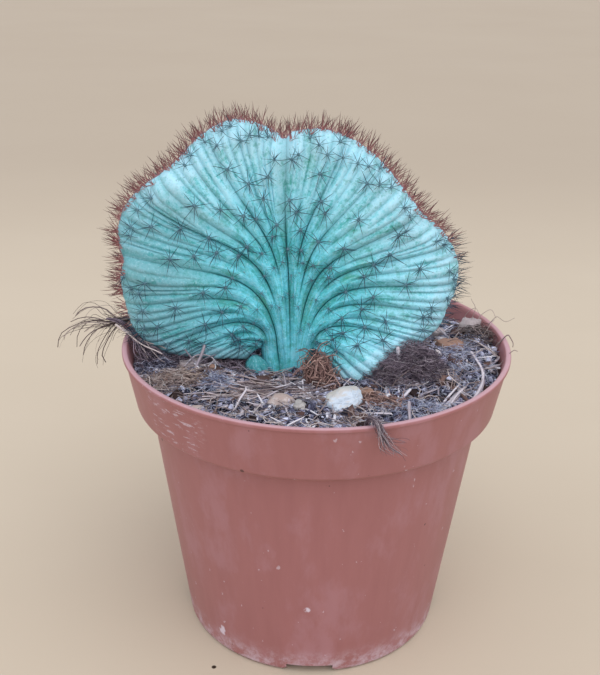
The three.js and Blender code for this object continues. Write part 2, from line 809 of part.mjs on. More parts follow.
function lumpSolid([, , [x, y], half, turn, angular], grow) {
  const shape = angular
    ? new THREE.BoxGeometry(2, 2, 2, 2, 2, 1)
    : new THREE.IcosahedronGeometry(1.15, 1);
  const position = shape.getAttribute("position");
  for (let i = 0; i < position.count; i++) {
    const p = new THREE.Vector3().fromBufferAttribute(position, i);
    const key = Math.round(p.x * 31) + Math.round(p.y * 17) * 3 + Math.round(p.z * 11) * 7;
    const wobble = 1 + (angular ? 0.16 : 0.09) * sway(key, Math.round(x * 10));
    p.multiplyScalar(wobble);
    p.set(p.x * (half[0] + grow), p.y * (half[1] + grow), p.z * (half[2] + grow));
    position.setXYZ(i, p.x, p.y, p.z);
  }
  shape.rotateZ(THREE.MathUtils.degToRad(turn));
  shape.translate(x, y, mixHeight(x, y) + half[2] * 0.45);
  return solidOf(shape);
}

// Dry stalks lie pressed into the top of the mix.
// Each is [name, colour, radius, points with height above it].
const STALKS = [
  ["long_straw", 0xc8b09c, 0.55, [[-24, -26, 0.5], [-16, -24.5, 0.9], [-6.5, -22.5, 0.6]]],
  ["front_straw", 0xb7a396, 0.5, [[-25, -30, 0.4], [-13, -30.5, 0.8], [-1, -33, 0.4]]],
  ["left_twig", 0xb39d8c, 0.8, [[-39.5, -18, 0.1], [-38, -15, 4.5], [-36.5, -12.4, 9]]],
  ["left_straw", 0xbca894, 0.5, [[-31, -15, 0.3], [-28.6, -20, 0.6], [-26.5, -27.5, 0.3]]],
  ["right_straw", 0xc3b7ae, 1.1, [[39.5, -37, 0.3], [43.3, -30, 0.8], [47, -23, 0.4]]],
  ["bent_stalk", 0xb7a294, 0.55, [[52, -4, 0.5], [54.6, -14, 0.9], [53.5, -22, 0.7], [48.6, -33, 0.4]]],
  ["rim_straw", 0xc4b3a4, 0.45, [[4, -56, 0.4], [11, -53.5, 0.9], [18, -55.5, 0.5]]],
  ["white_peg", 0xd9d2c9, 0.7, [[27.4, -17, -1], [26.9, -16, 1.5], [26.4, -15.5, 4]]],
];

function stalkSolid([, , radius, points], grow) {
  const laid = points.map(([x, y, above]) => [x, y, mixHeight(x, y) + above]);
  return strand(laid, radius + grow, 4, 4, grow);
}

// Clumps of root fibre are strands that leave a common core. Each strand is a list of points.
const LEFT_TUFT = {
  core: [[-49, 14, 92], [-54.5, 11, 101.5], [-59.5, 9, 106.2], [-64, 7.5, 107.6], [-73, 6, 107.5]],
  coreRadius: 2,
  strandRadius: 0.45,
  strands: [
    [[-71, 6, 108], [-78, 5.5, 111.5], [-84, 5, 111], [-86.5, 5, 108]],
    [[-71, 5, 107.5], [-79, 4, 109], [-86, 3, 106.5], [-88, 3, 101]],
    [[-70, 7, 107], [-78, 8, 107.5], [-83, 8, 104], [-83.5, 8, 99.5]],
    [[-70, 5, 107], [-76, 2, 106.5], [-80.5, 1, 102], [-81.5, 1, 94]],
    [[-69, 8, 108], [-74, 10, 112], [-80, 11, 112.5], [-84.5, 12, 109]],
    [[-69.5, 6, 106.5], [-73, 4, 103.5], [-76.5, 4, 99], [-77, 4, 93.5]],
    [[-68, 7.5, 108], [-72, 8, 110.5], [-76, 8, 113], [-79, 9, 112]],
    [[-68, 6, 106.8], [-71, 4, 103.5], [-73.5, 3, 99.5], [-72, 3, 96.5]],
  ],
};

const FRONT_TUFT = {
  core: [
    [14, -56.3, 96],
    [14.8, -58.5, 101.5],
    [15.7, -60.2, 105.2],
    [17.1, -62.9, 106],
    [18.5, -64.6, 103.8],
    [19.6, -64.4, 101],
  ],
  coreRadius: 1.1,
  strandRadius: 0.4,
  strands: [
    [[19.3, -64.5, 102.3], [21.5, -64.4, 98.5], [25, -63, 95.5], [26.5, -62, 91.5]],
    [[19.2, -64.7, 101.8], [20.4, -64.8, 98.5], [22.8, -64, 96], [25.2, -62.6, 94.5]],
    [[19.4, -64.4, 101.5], [23, -63.4, 99.8], [26, -62.4, 98.8], [28.3, -61.8, 98.2]],
    [[19, -64.6, 102], [19.2, -65.1, 98.6], [20.6, -64.8, 96.6], [22.8, -63.8, 95.2]],
  ],
};

const COIR_CLUMP = {
  core: [[3, -25, 93.5], [2, -23, 98.5], [0, -20.5, 103], [-0.5, -19.5, 106]],
  coreRadius: 4.6,
  strandRadius: 0.42,
  strands: [
    [[0, -20, 104.5], [-3.5, -19.5, 108], [-6, -19.5, 107.5]],
    [[0, -20, 104.5], [1.5, -20, 109.5], [4, -20, 111]],
    [[1, -21, 103.5], [5.5, -21.5, 107], [8.5, -22.5, 106]],
    [[-1, -22.5, 102], [-5, -25, 103.5], [-7.5, -26.5, 101.5]],
    [[2, -23, 101], [5.5, -28, 102.5], [7, -29.5, 100.6]],
    [[0, -21.5, 104], [0, -26, 105.5], [-0.5, -28.5, 102.5]],
  ],
};

function clumpSolid({ core, coreRadius, strandRadius, strands }, grow, whole) {
  const parts = [strand(core, coreRadius + grow, 6, 5, grow)];
  if (whole) {
    for (const points of strands) parts.push(strand(points, strandRadius, 3, 4));
  }
  return joinAll(parts);
}

// Colours as photographed
const material = (color, roughness) =>
  new THREE.MeshStandardMaterial({ color, roughness, metalness: 0 });

const part = new THREE.Group();

function addNode(name, solid, color, roughness) {
  const mesh = new THREE.Mesh(geometryOf(largestPiece(solid)), material(color, roughness));
  mesh.name = name;
  part.add(mesh);
}

const pot = potSolid();
const plainCrest = crestShell(ribColumns());
const strip = bandStrip();
const lumps = LUMPS.map((lump) => ({ lump, solid: lumpSolid(lump, 0) }));
const stalks = STALKS.map((stalk) => ({ stalk, solid: stalkSolid(stalk, 0) }));
const clumps = [
  ["left_root_tuft", LEFT_TUFT, 0x4d3f3d],
  ["front_root_tuft", FRONT_TUFT, 0x7d6a68],
  ["coir_clump", COIR_CLUMP, 0x83604f],
].map(([name, clump, color]) => ({
  name,
  clump,
  color,
  solid: clumpSolid(clump, 0, true),
}));

const crestRoom = swollen(crestShell(roomColumns()), ROOM_MARGIN);
let mixBody = mixSolid().subtract(crestRoom);
for (const { lump } of lumps) mixBody = mixBody.subtract(lumpSolid(lump, SEAT_CLEARANCE));
for (const { stalk } of stalks) mixBody = mixBody.subtract(stalkSolid(stalk, SEAT_CLEARANCE));
for (const { clump } of clumps) {
  mixBody = mixBody.subtract(clumpSolid(clump, SEAT_CLEARANCE, false));
}

const surroundings = [
  pot,
  mixBody,
  ...[...lumps, ...stalks, ...clumps].map(({ solid }) => solid),
];
const stripSolid = gridSolid(strip);
const crest = plantSpines(plainCrest, areoleSpines(plainCrest), [...surroundings, stripSolid]);
const spineBand = plantSpines(strip, bandSpines(strip), [...surroundings, crest]);

addNode("pot", pot, 0xa4655c, 0.5);
addNode("potting_mix", mixBody, 0x5a4c49, 0.95);
addNode("crest_stem", crest, 0x6fbfba, 0.6);
addNode("crest_spine_band", spineBand, 0x7d4038, 0.6);
for (const { lump, solid } of lumps) addNode(lump[0], solid, lump[1], 0.8);
for (const { stalk, solid } of stalks) addNode(stalk[0], solid, stalk[1], 0.85);
for (const { name, solid, color } of clumps) addNode(name, solid, color, 0.9);

export default part;
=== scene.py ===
# A crested cactus in a plastic nursery pot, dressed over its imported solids. The broad front faces -Y.
# Places are worked out in millimetres, and turned to metres where a mesh is made.
import json
import math
from collections import namedtuple
from types import SimpleNamespace

import bmesh
import bpy
import numpy as np
from mathutils import Matrix, Vector, noise
from mathutils.bvhtree import BVHTree

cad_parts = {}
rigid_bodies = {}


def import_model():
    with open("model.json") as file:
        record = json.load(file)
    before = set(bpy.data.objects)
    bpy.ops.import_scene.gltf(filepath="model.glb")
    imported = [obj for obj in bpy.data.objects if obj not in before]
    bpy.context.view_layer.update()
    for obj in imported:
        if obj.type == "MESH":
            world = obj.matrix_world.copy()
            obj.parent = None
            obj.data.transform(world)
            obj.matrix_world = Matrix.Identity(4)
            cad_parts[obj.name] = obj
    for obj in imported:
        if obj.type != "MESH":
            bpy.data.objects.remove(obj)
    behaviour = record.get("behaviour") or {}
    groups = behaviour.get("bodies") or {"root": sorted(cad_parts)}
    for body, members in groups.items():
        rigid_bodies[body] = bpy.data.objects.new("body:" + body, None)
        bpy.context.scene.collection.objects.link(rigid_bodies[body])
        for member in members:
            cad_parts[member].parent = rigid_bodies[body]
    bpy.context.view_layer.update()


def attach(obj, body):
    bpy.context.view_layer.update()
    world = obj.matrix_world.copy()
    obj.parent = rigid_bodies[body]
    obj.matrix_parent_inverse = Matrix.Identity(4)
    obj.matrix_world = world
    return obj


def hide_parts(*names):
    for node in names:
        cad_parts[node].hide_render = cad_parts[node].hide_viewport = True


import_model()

MM = 0.001

# Driving sizes of the pot and the mix, as in the solids
POT_HEIGHT = 103.5
RIM_RADIUS = 65
BAND_RADIUS = 61
BAND_BOTTOM = 85
BODY_TOP_RADIUS = 56
BODY_TOP = 81.5
BASE_RADIUS = 45
WALL = 1.2
LIP = 1.6
FLOOR_TOP = 4
FOOT_HEIGHT = 2.5
FOOT_INNER_RADIUS = 38
PAD_RADIUS = 14
NOTCH_WIDTH = 15
NOTCHES = 4
DRAIN_RADIUS = 3.5
DRAIN_CIRCLE = 26
DRAINS = 8
MIX_LEVEL = 95.5

# Driving sizes of the crest, as in the solids
NECK = np.array([-8.5, -2, 84])
NECK_HALF_WIDTH = 5
NECK_FLARE = 2.5
NECK_HALF_DEPTH = 9
NECK_SIDE_RISE = 14
NECK_SIDE_SHARE = 0.3
NECK_SHARE = 0.3
PLATE_HALF_DEPTH = 7.4
EDGE_HALF_DEPTH = 6.2
CROWN_LENGTH = 6.5
RADIATE_FROM = np.array([-13, -2, 116])
RISE_SHARE = 0.77
APPROACH_SHARE = 0.45
LINE_BEND = 1.08
END_SHARE = 0.035
SLOPE_STEP = 0.004
RIBS = 88
GROOVE_DEPTH = 1.5
GROWING_EDGE = [
    (-23, -7, 98.5), (-29, -7, 98.8), (-36, -5.5, 97.6), (-44, -3, 97), (-54, -2, 100),
    (-61, -3, 107), (-63.4, -4, 116), (-64.6, -4, 125), (-63.2, -6, 131.7), (-65, -3, 139),
    (-63.5, -1, 147), (-58, 0, 154.2), (-50.4, -3, 160.2), (-45, -2, 164.6), (-37.4, 0, 172.2),
    (-28, 1, 176.9), (-19.4, 0, 176), (-14.5, -1, 174), (-11.5, -1.8, 172), (-8.4, -1.2, 174),
    (0.8, 0, 174.6), (9.7, 1, 171.8), (18.8, -1, 165.7), (27, -3, 156.6), (33.8, -2, 148.3),
    (41.1, 0, 141.5), (45.5, 0, 133.6), (46.2, -1, 125), (43.6, -2, 117), (40.8, -3, 110),
    (35, -5, 104.8), (29, -9, 101), (21, -14, 96.5), (14, -14, 93.5), (6, -10, 94),
]
# The grooves that part the large ribs, counted from the left: where each starts, and its strength
LEADING_GROOVES = {
    0: (0, 0.6), 4: (0.16, 0.8), 7: (0.34, 0.6), 10: (0.14, 1), 13: (0.42, 0.7), 16: (0.36, 0.8),
    19: (0.5, 0.6), 21: (0, 1.1), 24: (0.46, 0.7), 26: (0.56, 0.6), 28: (0.2, 1), 31: (0.44, 0.8),
    34: (0.38, 0.85), 37: (0.26, 0.9), 40: (0.46, 0.7), 42: (0.54, 0.6), 45: (0.06, 1.1), 48: (0.52, 0.6),
    51: (0.3, 0.9), 54: (0.52, 0.6), 56: (0.24, 0.85), 58: (0.56, 0.6), 61: (0.12, 1), 63: (0.52, 0.6),
    66: (0.32, 0.9), 68: (0.54, 0.6), 70: (0.18, 1), 73: (0.34, 0.85), 76: (0.46, 0.7), 78: (0.16, 1),
    81: (0.38, 0.7), 84: (0.22, 0.9), 88: (0, 0.6),
}
FLAT_ROWS = [0, 0.17, 0.33, 0.49, 0.66, 0.83, 1]
AREOLE_ROWS = [1.5, 2.4, 3.2, 3.8, 4.5, 5.2, 5.8]
AREOLE_STAGGER = 3
BAND_ABOVE_MIX = 4

# How finely the crest is drawn, and what the scene alone adds to it
RIB_OFFSETS = [0, 0.08, 0.2, 0.4, 0.62, 0.8, 0.92]
FLAT_STEPS = 50
CROWN_STEPS = 10
FELT_COLUMNS = 700
STAR_SPINES = 9
ARM_WIDENING = 2.4

# How finely the pot and the mix are drawn, and how many fibres are laid one by one
POT_SIDES = 208
MIX_SIDES = 260
MIX_STEPS = 84
LAID_STRAWS = 95
CLUMP_FIBRES = 520
CLUMP_SEED = 5


# Numbers

def chance(i, j):
    """A repeatable number from 0 to 1 for each pair of numbers."""
    n = np.sin(np.asarray(i) * 12.9898 + j * 78.233) * 43758.5453
    return n - np.floor(n)


def sway(i, j):
    return 2 * chance(i, j) - 1


def blend(a, b, share):
    return a + (b - a) * share


def smooth(start, end, x):
    s = np.clip((x - start) / (end - start), 0, 1)
    return s * s * (3 - 2 * s)


def bump(x, y, cx, cy, rx, ry):
    return np.exp(-(((x - cx) / rx) ** 2) - ((y - cy) / ry) ** 2)


def unit(v):
    return v / np.maximum(np.linalg.norm(v, axis=-1, keepdims=True), 1e-12)


def paint(red, green, blue):
    """A colour from its display values, 0 to 255, as the shaders want it."""
    shares = [c / 255 for c in (red, green, blue)]
    return (*(c / 12.92 if c <= 0.04045 else ((c + 0.055) / 1.055) ** 2.4 for c in shares), 1)


# Node trees

class Value:
    """A socket whose arithmetic adds Math nodes."""

    def __init__(self, graph, socket):
        self.graph = graph
        self.socket = socket

    def math(self, operation, *sides):
        return self.graph.node("ShaderNodeMath", {"operation": operation}, dict(enumerate(sides)))

    def __add__(self, other):
        return self.math("ADD", self, other)

    def __sub__(self, other):
        return self.math("SUBTRACT", self, other)

    def __rsub__(self, other):
        return self.math("SUBTRACT", other, self)

    def __mul__(self, other):
        return self.math("MULTIPLY", self, other)

    __radd__ = __add__
    __rmul__ = __mul__

    def between(self, start, end):
        """0 below start and 1 above end, smooth between them."""
        settings = {"interpolation_type": "SMOOTHSTEP"}
        return self.graph.node("ShaderNodeMapRange", settings, {0: self, 1: start, 2: end})

    def at_least(self, other):
        return self.math("MAXIMUM", self, other)


class Graph:
    """A node tree, with one method that adds any node."""

    def __init__(self, tree):
        self.tree = tree

    def node(self, kind, settings=None, inputs=None, output=0):
        node = self.tree.nodes.new(kind)
        for key, value in (settings or {}).items():
            if key == "stops":
                self.set_stops(node.color_ramp, value)
            else:
                setattr(node, key, value)
        for key, value in (inputs or {}).items():
            if isinstance(value, Value):
                self.tree.links.new(value.socket, node.inputs[key])
            else:
                node.inputs[key].default_value = value
        return Value(self, node.outputs[output])

    @staticmethod
    def set_stops(ramp, stops):
        while len(ramp.elements) < len(stops):
            ramp.elements.new(1)
        for element, (place, colour) in zip(ramp.elements, stops):
            element.position = place
            element.color = colour

    def ramp(self, value, *stops):
        return self.node("ShaderNodeValToRGB", {"stops": stops}, {0: value})

    def mix(self, share, first, second):
        return self.node("ShaderNodeMix", {"data_type": "RGBA"}, {0: share, 6: first, 7: second}, 2)

    def coordinates(self):
        return self.node("ShaderNodeTexCoord", output=3)

    def attribute(self, name, output="Fac"):
        return self.node("ShaderNodeAttribute", {"attribute_name": name}, output=output)

    def noise(self, where, scale, detail=3, roughness=0.55, stretch=None):
        if stretch:
            where = self.node("ShaderNodeMapping", None, {"Vector": where, "Scale": stretch})
        inputs = {"Vector": where, "Scale": scale, "Detail": detail, "Roughness": roughness}
        return self.node("ShaderNodeTexNoise", None, inputs)

    def spot(self, where, centre, radius):
        """1 within a radius of a place, falling to 0 at its edge. Centre and radius in millimetres."""
        place = [c * MM for c in centre]
        settings = {"operation": "DISTANCE"}
        away = self.node("ShaderNodeVectorMath", settings, {0: where, 1: place}, "Value")
        return 1 - away.between(0.6 * radius * MM, radius * MM)

    def one_axis(self, vector, axis):
        return self.node("ShaderNodeSeparateXYZ", None, {0: vector}, axis)

    def relief(self, height, strength, distance):
        inputs = {"Height": height, "Strength": strength, "Distance": distance * MM}
        return self.node("ShaderNodeBump", None, inputs)


def finish_of(name, make):
    """A material. Make gets its graph and gives the Principled shader's inputs by name."""
    material = bpy.data.materials.new(name)
    material.use_nodes = True
    graph = Graph(material.node_tree)
    shader = material.node_tree.nodes["Principled BSDF"]
    for key, value in make(graph).items():
        if isinstance(value, Value):
            material.node_tree.links.new(value.socket, shader.inputs[key])
        else:
            shader.inputs[key].default_value = value
    return material


# Finishes

def pot_plastic(g):
    where = g.coordinates()
    height = g.one_axis(where, "Z")
    streaks = g.noise(where, 260, 4, 0.6, (1, 1, 0.04))
    cloud = g.noise(where, 75, 5, 0.65, (1, 1, 0.45))
    colour = g.mix(streaks, paint(153, 98, 98), paint(166, 110, 110))
    colour = g.mix(cloud.between(0.47, 0.66) * 0.4, colour, paint(176, 130, 138))
    # Painted highlight: the rim's top edge is paler, mostly along the front and faint behind.
    behind = g.one_axis(where, "Y").between(0.005, 0.035)
    lip_highlight = height.between(0.1031, 0.1035) * (1 - 0.8 * behind)
    colour = g.mix(lip_highlight * 0.6, colour, paint(206, 168, 176))
    grain = g.noise(where, 900, 5, 0.7)
    flecks = g.noise(where, 430, 3, 0.6, (1, 1, 0.7)).between(0.7, 0.73)
    foot = 1 - height.between(0.001, 0.012)
    rubbed = foot * g.noise(where, 210, 5, 0.75).between(0.38, 0.68)
    band = g.spot(where, (-43, -46, 95), 15)
    band_scratches = band * g.noise(where, 560, 5, 0.75, (0.35, 0.35, 1.6)).between(0.56, 0.62)
    long_grain = g.noise(where, 500, 3, 0.5, (1, 1, 0.3))
    nicks = g.spot(where, (-30, -35.1, 8.8), 2.6) * long_grain.between(0.44, 0.5)
    nicks = nicks.at_least(g.spot(where, (-1.1, -48.8, 29), 1.3) * grain.between(0.42, 0.5))
    chalk = (rubbed * 0.7).at_least(band_scratches * 0.65).at_least(flecks * 0.5).at_least(nicks)
    colour = g.mix(chalk, colour, paint(212, 196, 208))
    dirt = g.spot(where, (-49.9, -24.1, 76.8), 0.9).at_least(g.spot(where, (-21, -57.3, 85.1), 0.8))
    dirt = dirt.at_least(g.noise(where, 350, 2).between(0.76, 0.78))
    colour = g.mix(dirt * 0.8, colour, paint(70, 45, 44))
    return {
        "Base Color": colour,
        "Roughness": 0.42 + 0.16 * cloud + 0.2 * chalk,
        "Specular IOR Level": 0.45,
        "Normal": g.relief(streaks + 0.35 * grain, 0.12, 0.3),
    }


def peat(g):
    where = g.coordinates()
    lumps = g.noise(where, 420, 6, 0.7)
    fine = g.noise(where, 1800, 5, 0.7)
    colour = g.ramp(
        lumps * 0.6 + fine * 0.4,
        (0.36, paint(14, 12, 16)),
        (0.5, paint(42, 38, 48)),
        (0.62, paint(88, 80, 92)),
        (0.76, paint(138, 128, 140)),
    )
    return {
        "Base Color": colour,
        "Roughness": 0.96,
        "Specular IOR Level": 0.2,
        "Normal": g.relief(lumps + fine * 0.6, 0.9, 0.9),
    }


def waxy_skin(g):
    where = g.coordinates()
    grain = g.attribute("grain", "Vector")
    along = g.attribute("along")
    cleft_shade = g.attribute("groove")
    valley = g.attribute("valley")
    streaks = g.noise(grain, 1, 4, 0.6, (1.1, 0.06, 1))
    cells = g.noise(where, 700, 5, 0.75)
    patches = g.noise(where, 75, 5, 0.65)
    dots = g.noise(where, 1500, 3, 0.6)
    # The wax is a touch darker down in the valleys, as painted shade.
    wax = streaks * 0.32 + patches * 0.36 + cells * 0.32 - valley * 0.05
    colour = g.ramp(
        wax,
        (0.36, paint(66, 164, 154)),
        (0.44, paint(88, 196, 204)),
        (0.52, paint(118, 220, 238)),
        (0.62, paint(162, 240, 255)),
    )
    bloom = along.between(0.45, 0.97) * (cells + streaks).between(0.7, 1.1)
    colour = g.mix(bloom * 0.9, colour, paint(190, 240, 255))
    colour = g.mix(along.between(0.88, 1) * 0.5, colour, paint(184, 228, 244))
    rubbed = g.noise(grain, 1, 4, 0.6, (0.3, 0.07, 1)).between(0.54, 0.7)
    colour = g.mix(rubbed * (0.75 - bloom * 0.5), colour, paint(78, 162, 132))
    mottle = g.noise(where, 330, 5, 0.7)
    colour = g.mix(mottle.between(0.52, 0.64) * 0.45, colour, paint(156, 230, 244))
    colour = g.mix((1 - mottle).between(0.53, 0.65) * 0.4, colour, paint(62, 154, 136))
    # Pale streaks along the grain, made stronger on the neck as a painted highlight.
    streaks_and_neck_highlight = g.noise(grain, 1, 5, 0.7, (2.4, 0.14, 1)).between(0.54, 0.64)
    neck = 1 - along.between(0.05, 0.38)
    colour = g.mix(streaks_and_neck_highlight * (0.35 + neck * 0.4), colour, paint(160, 232, 246))
    # Painted shade: darker teal where the fan lies in shadow, at its lower left and on the basal knob.
    worn = g.attribute("worn") * (0.25 + patches * 0.5)
    colour = g.mix(worn, colour, paint(62, 136, 140))
    colour = g.mix(dots.between(0.56, 0.7) * 0.4, colour, paint(200, 236, 246))
    colour = g.mix((1 - dots).between(0.58, 0.72) * 0.3, colour, paint(56, 132, 134))
    # Painted shade: darker teal down the valleys between ribs, and deep teal in their narrow clefts.
    colour = g.mix(valley.between(0.25, 1.3) * 0.3, colour, paint(56, 140, 142))
    colour = g.mix(cleft_shade.between(0.25, 0.9) * 0.8, colour, paint(24, 90, 98))
    scars = g.noise(where, 620, 2, 0.5).between(0.71, 0.74)
    colour = g.mix(scars * 0.4, colour, paint(96, 96, 104))
    return {
        "Base Color": colour,
        "Roughness": 0.62 + 0.2 * wax,
        "Specular IOR Level": 0.25,
        "Subsurface Weight": 0.1,
        "Subsurface Radius": (0.4, 0.8, 0.8),
        "Subsurface Scale": 0.002,
        "Normal": g.relief(streaks + cells * 0.9 + mottle * 0.5 + dots * 0.3, 0.65, 0.5),
    }


def spine_finish(root, middle, tip):
    def make(g):
        colour = g.ramp(g.attribute("tip"), (0, root), (0.4, middle), (0.9, tip))
        colour = g.mix(g.attribute("tone") * 0.35, colour, middle)
        return {"Base Color": colour, "Roughness": 0.55, "Specular IOR Level": 0.3}
    return make


def felt_finish(low, high):
    def make(g):
        hairs = g.noise(g.coordinates(), 2600, 4, 0.7)
        return {
            "Base Color": g.mix(hairs, low, high),
            "Roughness": 0.95,
            "Normal": g.relief(hairs, 1, 0.3),
        }
    return make


def plant_matter(*stops):
    """Bark, straw and fibre, whose shade goes by each piece's own tone."""
    def make(g):
        where = g.coordinates()
        grain = g.noise(where, 1100, 4, 0.7)
        colour = g.ramp(g.attribute("tone") * 0.75 + grain * 0.25, *stops)
        return {
            "Base Color": colour,
            "Roughness": 0.85,
            "Specular IOR Level": 0.25,
            "Normal": g.relief(grain, 0.6, 0.25),
        }
    return make


def stone(pale, shade, stain):
    def make(g):
        where = g.coordinates()
        cloud = g.noise(where, 150, 5, 0.65)
        grit = g.noise(where, 1300, 4, 0.7)
        upward = g.one_axis(g.node("ShaderNodeNewGeometry", output="Normal"), "Z")
        top = (upward + cloud).between(1.05, 1.45)
        colour = g.mix(top * 0.8, pale, shade)
        colour = g.mix((cloud - grit * 0.3).between(0.36, 0.46) * 0.5, colour, shade)
        colour = g.mix(grit.between(0.6, 0.7) * 0.6, colour, stain)
        return {
            "Base Color": colour,
            "Roughness": 0.7 + 0.2 * grit,
            "Normal": g.relief(cloud + grit * 0.5, 0.6, 0.5),
        }
    return make


def paper_floor(g):
    where = g.coordinates()
    waves = g.noise(where, 9, 3, 0.5, (0.5, 1, 1))
    cloud = g.noise(where, 3, 4)
    colour = g.mix(waves * 0.5 + cloud * 0.5, paint(190, 175, 154), paint(204, 190, 170))
    # Painted shade: the paper is darker far behind the pot.
    far = g.mix(cloud, paint(176, 161, 143), paint(182, 168, 150))
    colour = g.mix(g.one_axis(where, "Y").between(0.2, 0.75), colour, far)
    speck = g.spot(where, (-32.4, -43.5, 0), 1)
    colour = g.mix(speck, colour, paint(60, 48, 40))
    return {"Base Color": colour, "Roughness": 0.95, "Specular IOR Level": 0.05}


# Dry and fibrous matter: the shades from dark to pale, each as its place and its display colour
PLANT_SHADES = {
    "straw": [(0.12, 86, 80, 92), (0.4, 158, 147, 154), (0.65, 208, 198, 204), (0.95, 240, 238, 246)],
    "brown_straw": [(0.1, 84, 70, 74), (0.5, 154, 136, 136), (0.9, 224, 210, 212)],
    "fibre": [(0.12, 22, 22, 36), (0.4, 64, 63, 82), (0.62, 146, 144, 170), (0.84, 222, 224, 246)],
    "pale_fibre": [(0.1, 112, 94, 94), (0.5, 172, 152, 146), (0.9, 216, 202, 198)],
    "tan_fibre": [(0.1, 104, 84, 80), (0.5, 178, 152, 140), (0.9, 230, 210, 198)],
    "grey_fibre": [(0.12, 62, 66, 88), (0.5, 166, 170, 200), (0.86, 238, 242, 255)],
    "coir": [(0.1, 62, 46, 46), (0.5, 136, 104, 98), (0.9, 206, 170, 158)],
    "root": [(0.15, 52, 43, 44), (0.5, 94, 80, 78), (0.9, 162, 146, 142)],
    "dark_root": [(0.15, 46, 40, 50), (0.5, 108, 94, 106), (0.85, 188, 170, 182)],
    "tuft_root": [(0.1, 62, 52, 60), (0.5, 130, 114, 122), (0.9, 204, 192, 196)],
    "brown_bark": [(0.25, 86, 62, 56), (0.5, 148, 114, 98), (0.75, 200, 168, 150)],
    "grey_bark": [(0.25, 92, 80, 82), (0.5, 160, 146, 146), (0.75, 208, 198, 198)],
    "dark_bark": [(0.2, 44, 30, 30), (0.6, 92, 68, 64), (0.95, 134, 108, 100)],
}
FINISH_MAKERS = {
    "pot_plastic": pot_plastic,
    "peat": peat,
    "waxy_skin": waxy_skin,
    # The grey spines' pale roots are partly their own colour and partly painted glints round each areole.
    "grey_spines": spine_finish(paint(88, 126, 144), paint(34, 58, 74), paint(20, 34, 46)),
    "red_spines": spine_finish(paint(188, 126, 124), paint(134, 84, 82), paint(66, 48, 52)),
    "areole_felt": felt_finish(paint(58, 96, 106), paint(140, 186, 196)),
    "edge_felt": felt_finish(paint(120, 88, 96), paint(190, 152, 158)),
    "white_stone": stone(paint(206, 218, 230), paint(194, 184, 174), paint(140, 134, 132)),
    "tan_stone": stone(paint(200, 188, 184), paint(170, 148, 140), paint(120, 104, 102)),
    "grey_stone": stone(paint(186, 180, 176), paint(150, 144, 142), paint(96, 88, 88)),
    "paper_floor": paper_floor,
}
for shade_name, shades in PLANT_SHADES.items():
    FINISH_MAKERS[shade_name] = plant_matter(*((place, paint(*colour)) for place, *colour in shades))
FINISHES = {name: finish_of(name, make) for name, make in FINISH_MAKERS.items()}


# Meshes

def linked(name, data):
    """An object in the scene for a mesh, a lamp or a camera."""
    made = bpy.data.objects.new(name, data)
    bpy.context.collection.objects.link(made)
    return made


def mesh_object(name, points, faces, finish=None):
    """A smooth mesh from places in millimetres."""
    mesh = bpy.data.meshes.new(name)
    mesh.from_pydata((np.asarray(points, float) * MM).tolist(), [], faces)
    mesh.shade_smooth()
    if finish:
        mesh.materials.append(FINISHES[finish])
    return linked(name, mesh)


def give(piece, name, values, kind="FLOAT"):
    """Stores one value or vector for each point of a piece's mesh."""
    field = "vector" if kind == "FLOAT_VECTOR" else "value"
    made = piece.data.attributes.new(name, kind, "POINT")
    made.data.foreach_set(field, np.ascontiguousarray(values, np.float32).ravel())


def tidy(piece):
    """Merges doubled points and turns the faces outwards."""
    made = bmesh.new()
    made.from_mesh(piece.data)
    bmesh.ops.remove_doubles(made, verts=made.verts, dist=1e-7)
    bmesh.ops.recalc_face_normals(made, faces=made.faces)
    made.to_mesh(piece.data)
    made.free()
    return piece


def ring_faces(slices, high):
    """Faces between neighbouring closed rings of points."""
    i, j = np.meshgrid(np.arange(slices - 1), np.arange(high), indexing="ij")
    a = (i * high + j).ravel()
    c = (i * high + (j + 1) % high).ravel()
    return np.stack([a, a + high, c + high, c], 1).tolist()


def closed_faces(slices, high):
    """The faces between closed rings of points, and one face across each end."""
    faces = ring_faces(slices, high)
    faces.append(list(range(high))[::-1])
    faces.append([(slices - 1) * high + n for n in range(high)])
    return faces


def grown(piece):
    """Replaces a piece by what its modifiers make of it, as a plain mesh."""
    bpy.context.view_layer.update()
    state = bpy.context.evaluated_depsgraph_get()
    whole = piece.evaluated_get(state)
    mesh = bpy.data.meshes.new_from_object(whole, preserve_all_data_layers=True, depsgraph=state)
    piece.modifiers.clear()
    piece.data = mesh
    piece.data.name = piece.name
    return piece


def set_piece(piece, slot, *nodes):
    """The piece rides on the part's one body and stands for these nodes."""
    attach(piece, "root")
    if nodes:
        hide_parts(*nodes)
    return piece


# Geometry trees

def new_tree(name, sockets):
    """A geometry tree with named inputs, each a socket type. Gives its graph and the inputs' values."""
    tree = bpy.data.node_groups.new(name, "GeometryNodeTree")
    face = tree.interface
    face.new_socket(name="Geometry", in_out="OUTPUT", socket_type="NodeSocketGeometry")
    for label, kind in {"Geometry": "NodeSocketGeometry", **sockets}.items():
        face.new_socket(name=label, in_out="INPUT", socket_type=kind)
    graph = Graph(tree)
    entry = tree.nodes.new("NodeGroupInput")
    inputs = {socket.name: Value(graph, socket) for socket in entry.outputs if socket.name}
    return graph, inputs


def close_tree(graph, geometry, finish):
    real = graph.node("GeometryNodeRealizeInstances", None, {0: geometry})
    dressed = graph.node("GeometryNodeSetMaterial", None, {"Geometry": real, "Material": finish})
    exit_node = graph.tree.nodes.new("NodeGroupOutput")
    graph.tree.links.new(dressed.socket, exit_node.inputs[0])


def random_value(graph, low, high, seed, kind="FLOAT"):
    place = {"FLOAT": (2, 3, 1), "FLOAT_VECTOR": (0, 1, 0), "INT": (4, 5, 2)}[kind]
    inputs = {place[0]: low, place[1]: high, "Seed": seed}
    return graph.node("FunctionNodeRandomValue", {"data_type": kind}, inputs, place[2])


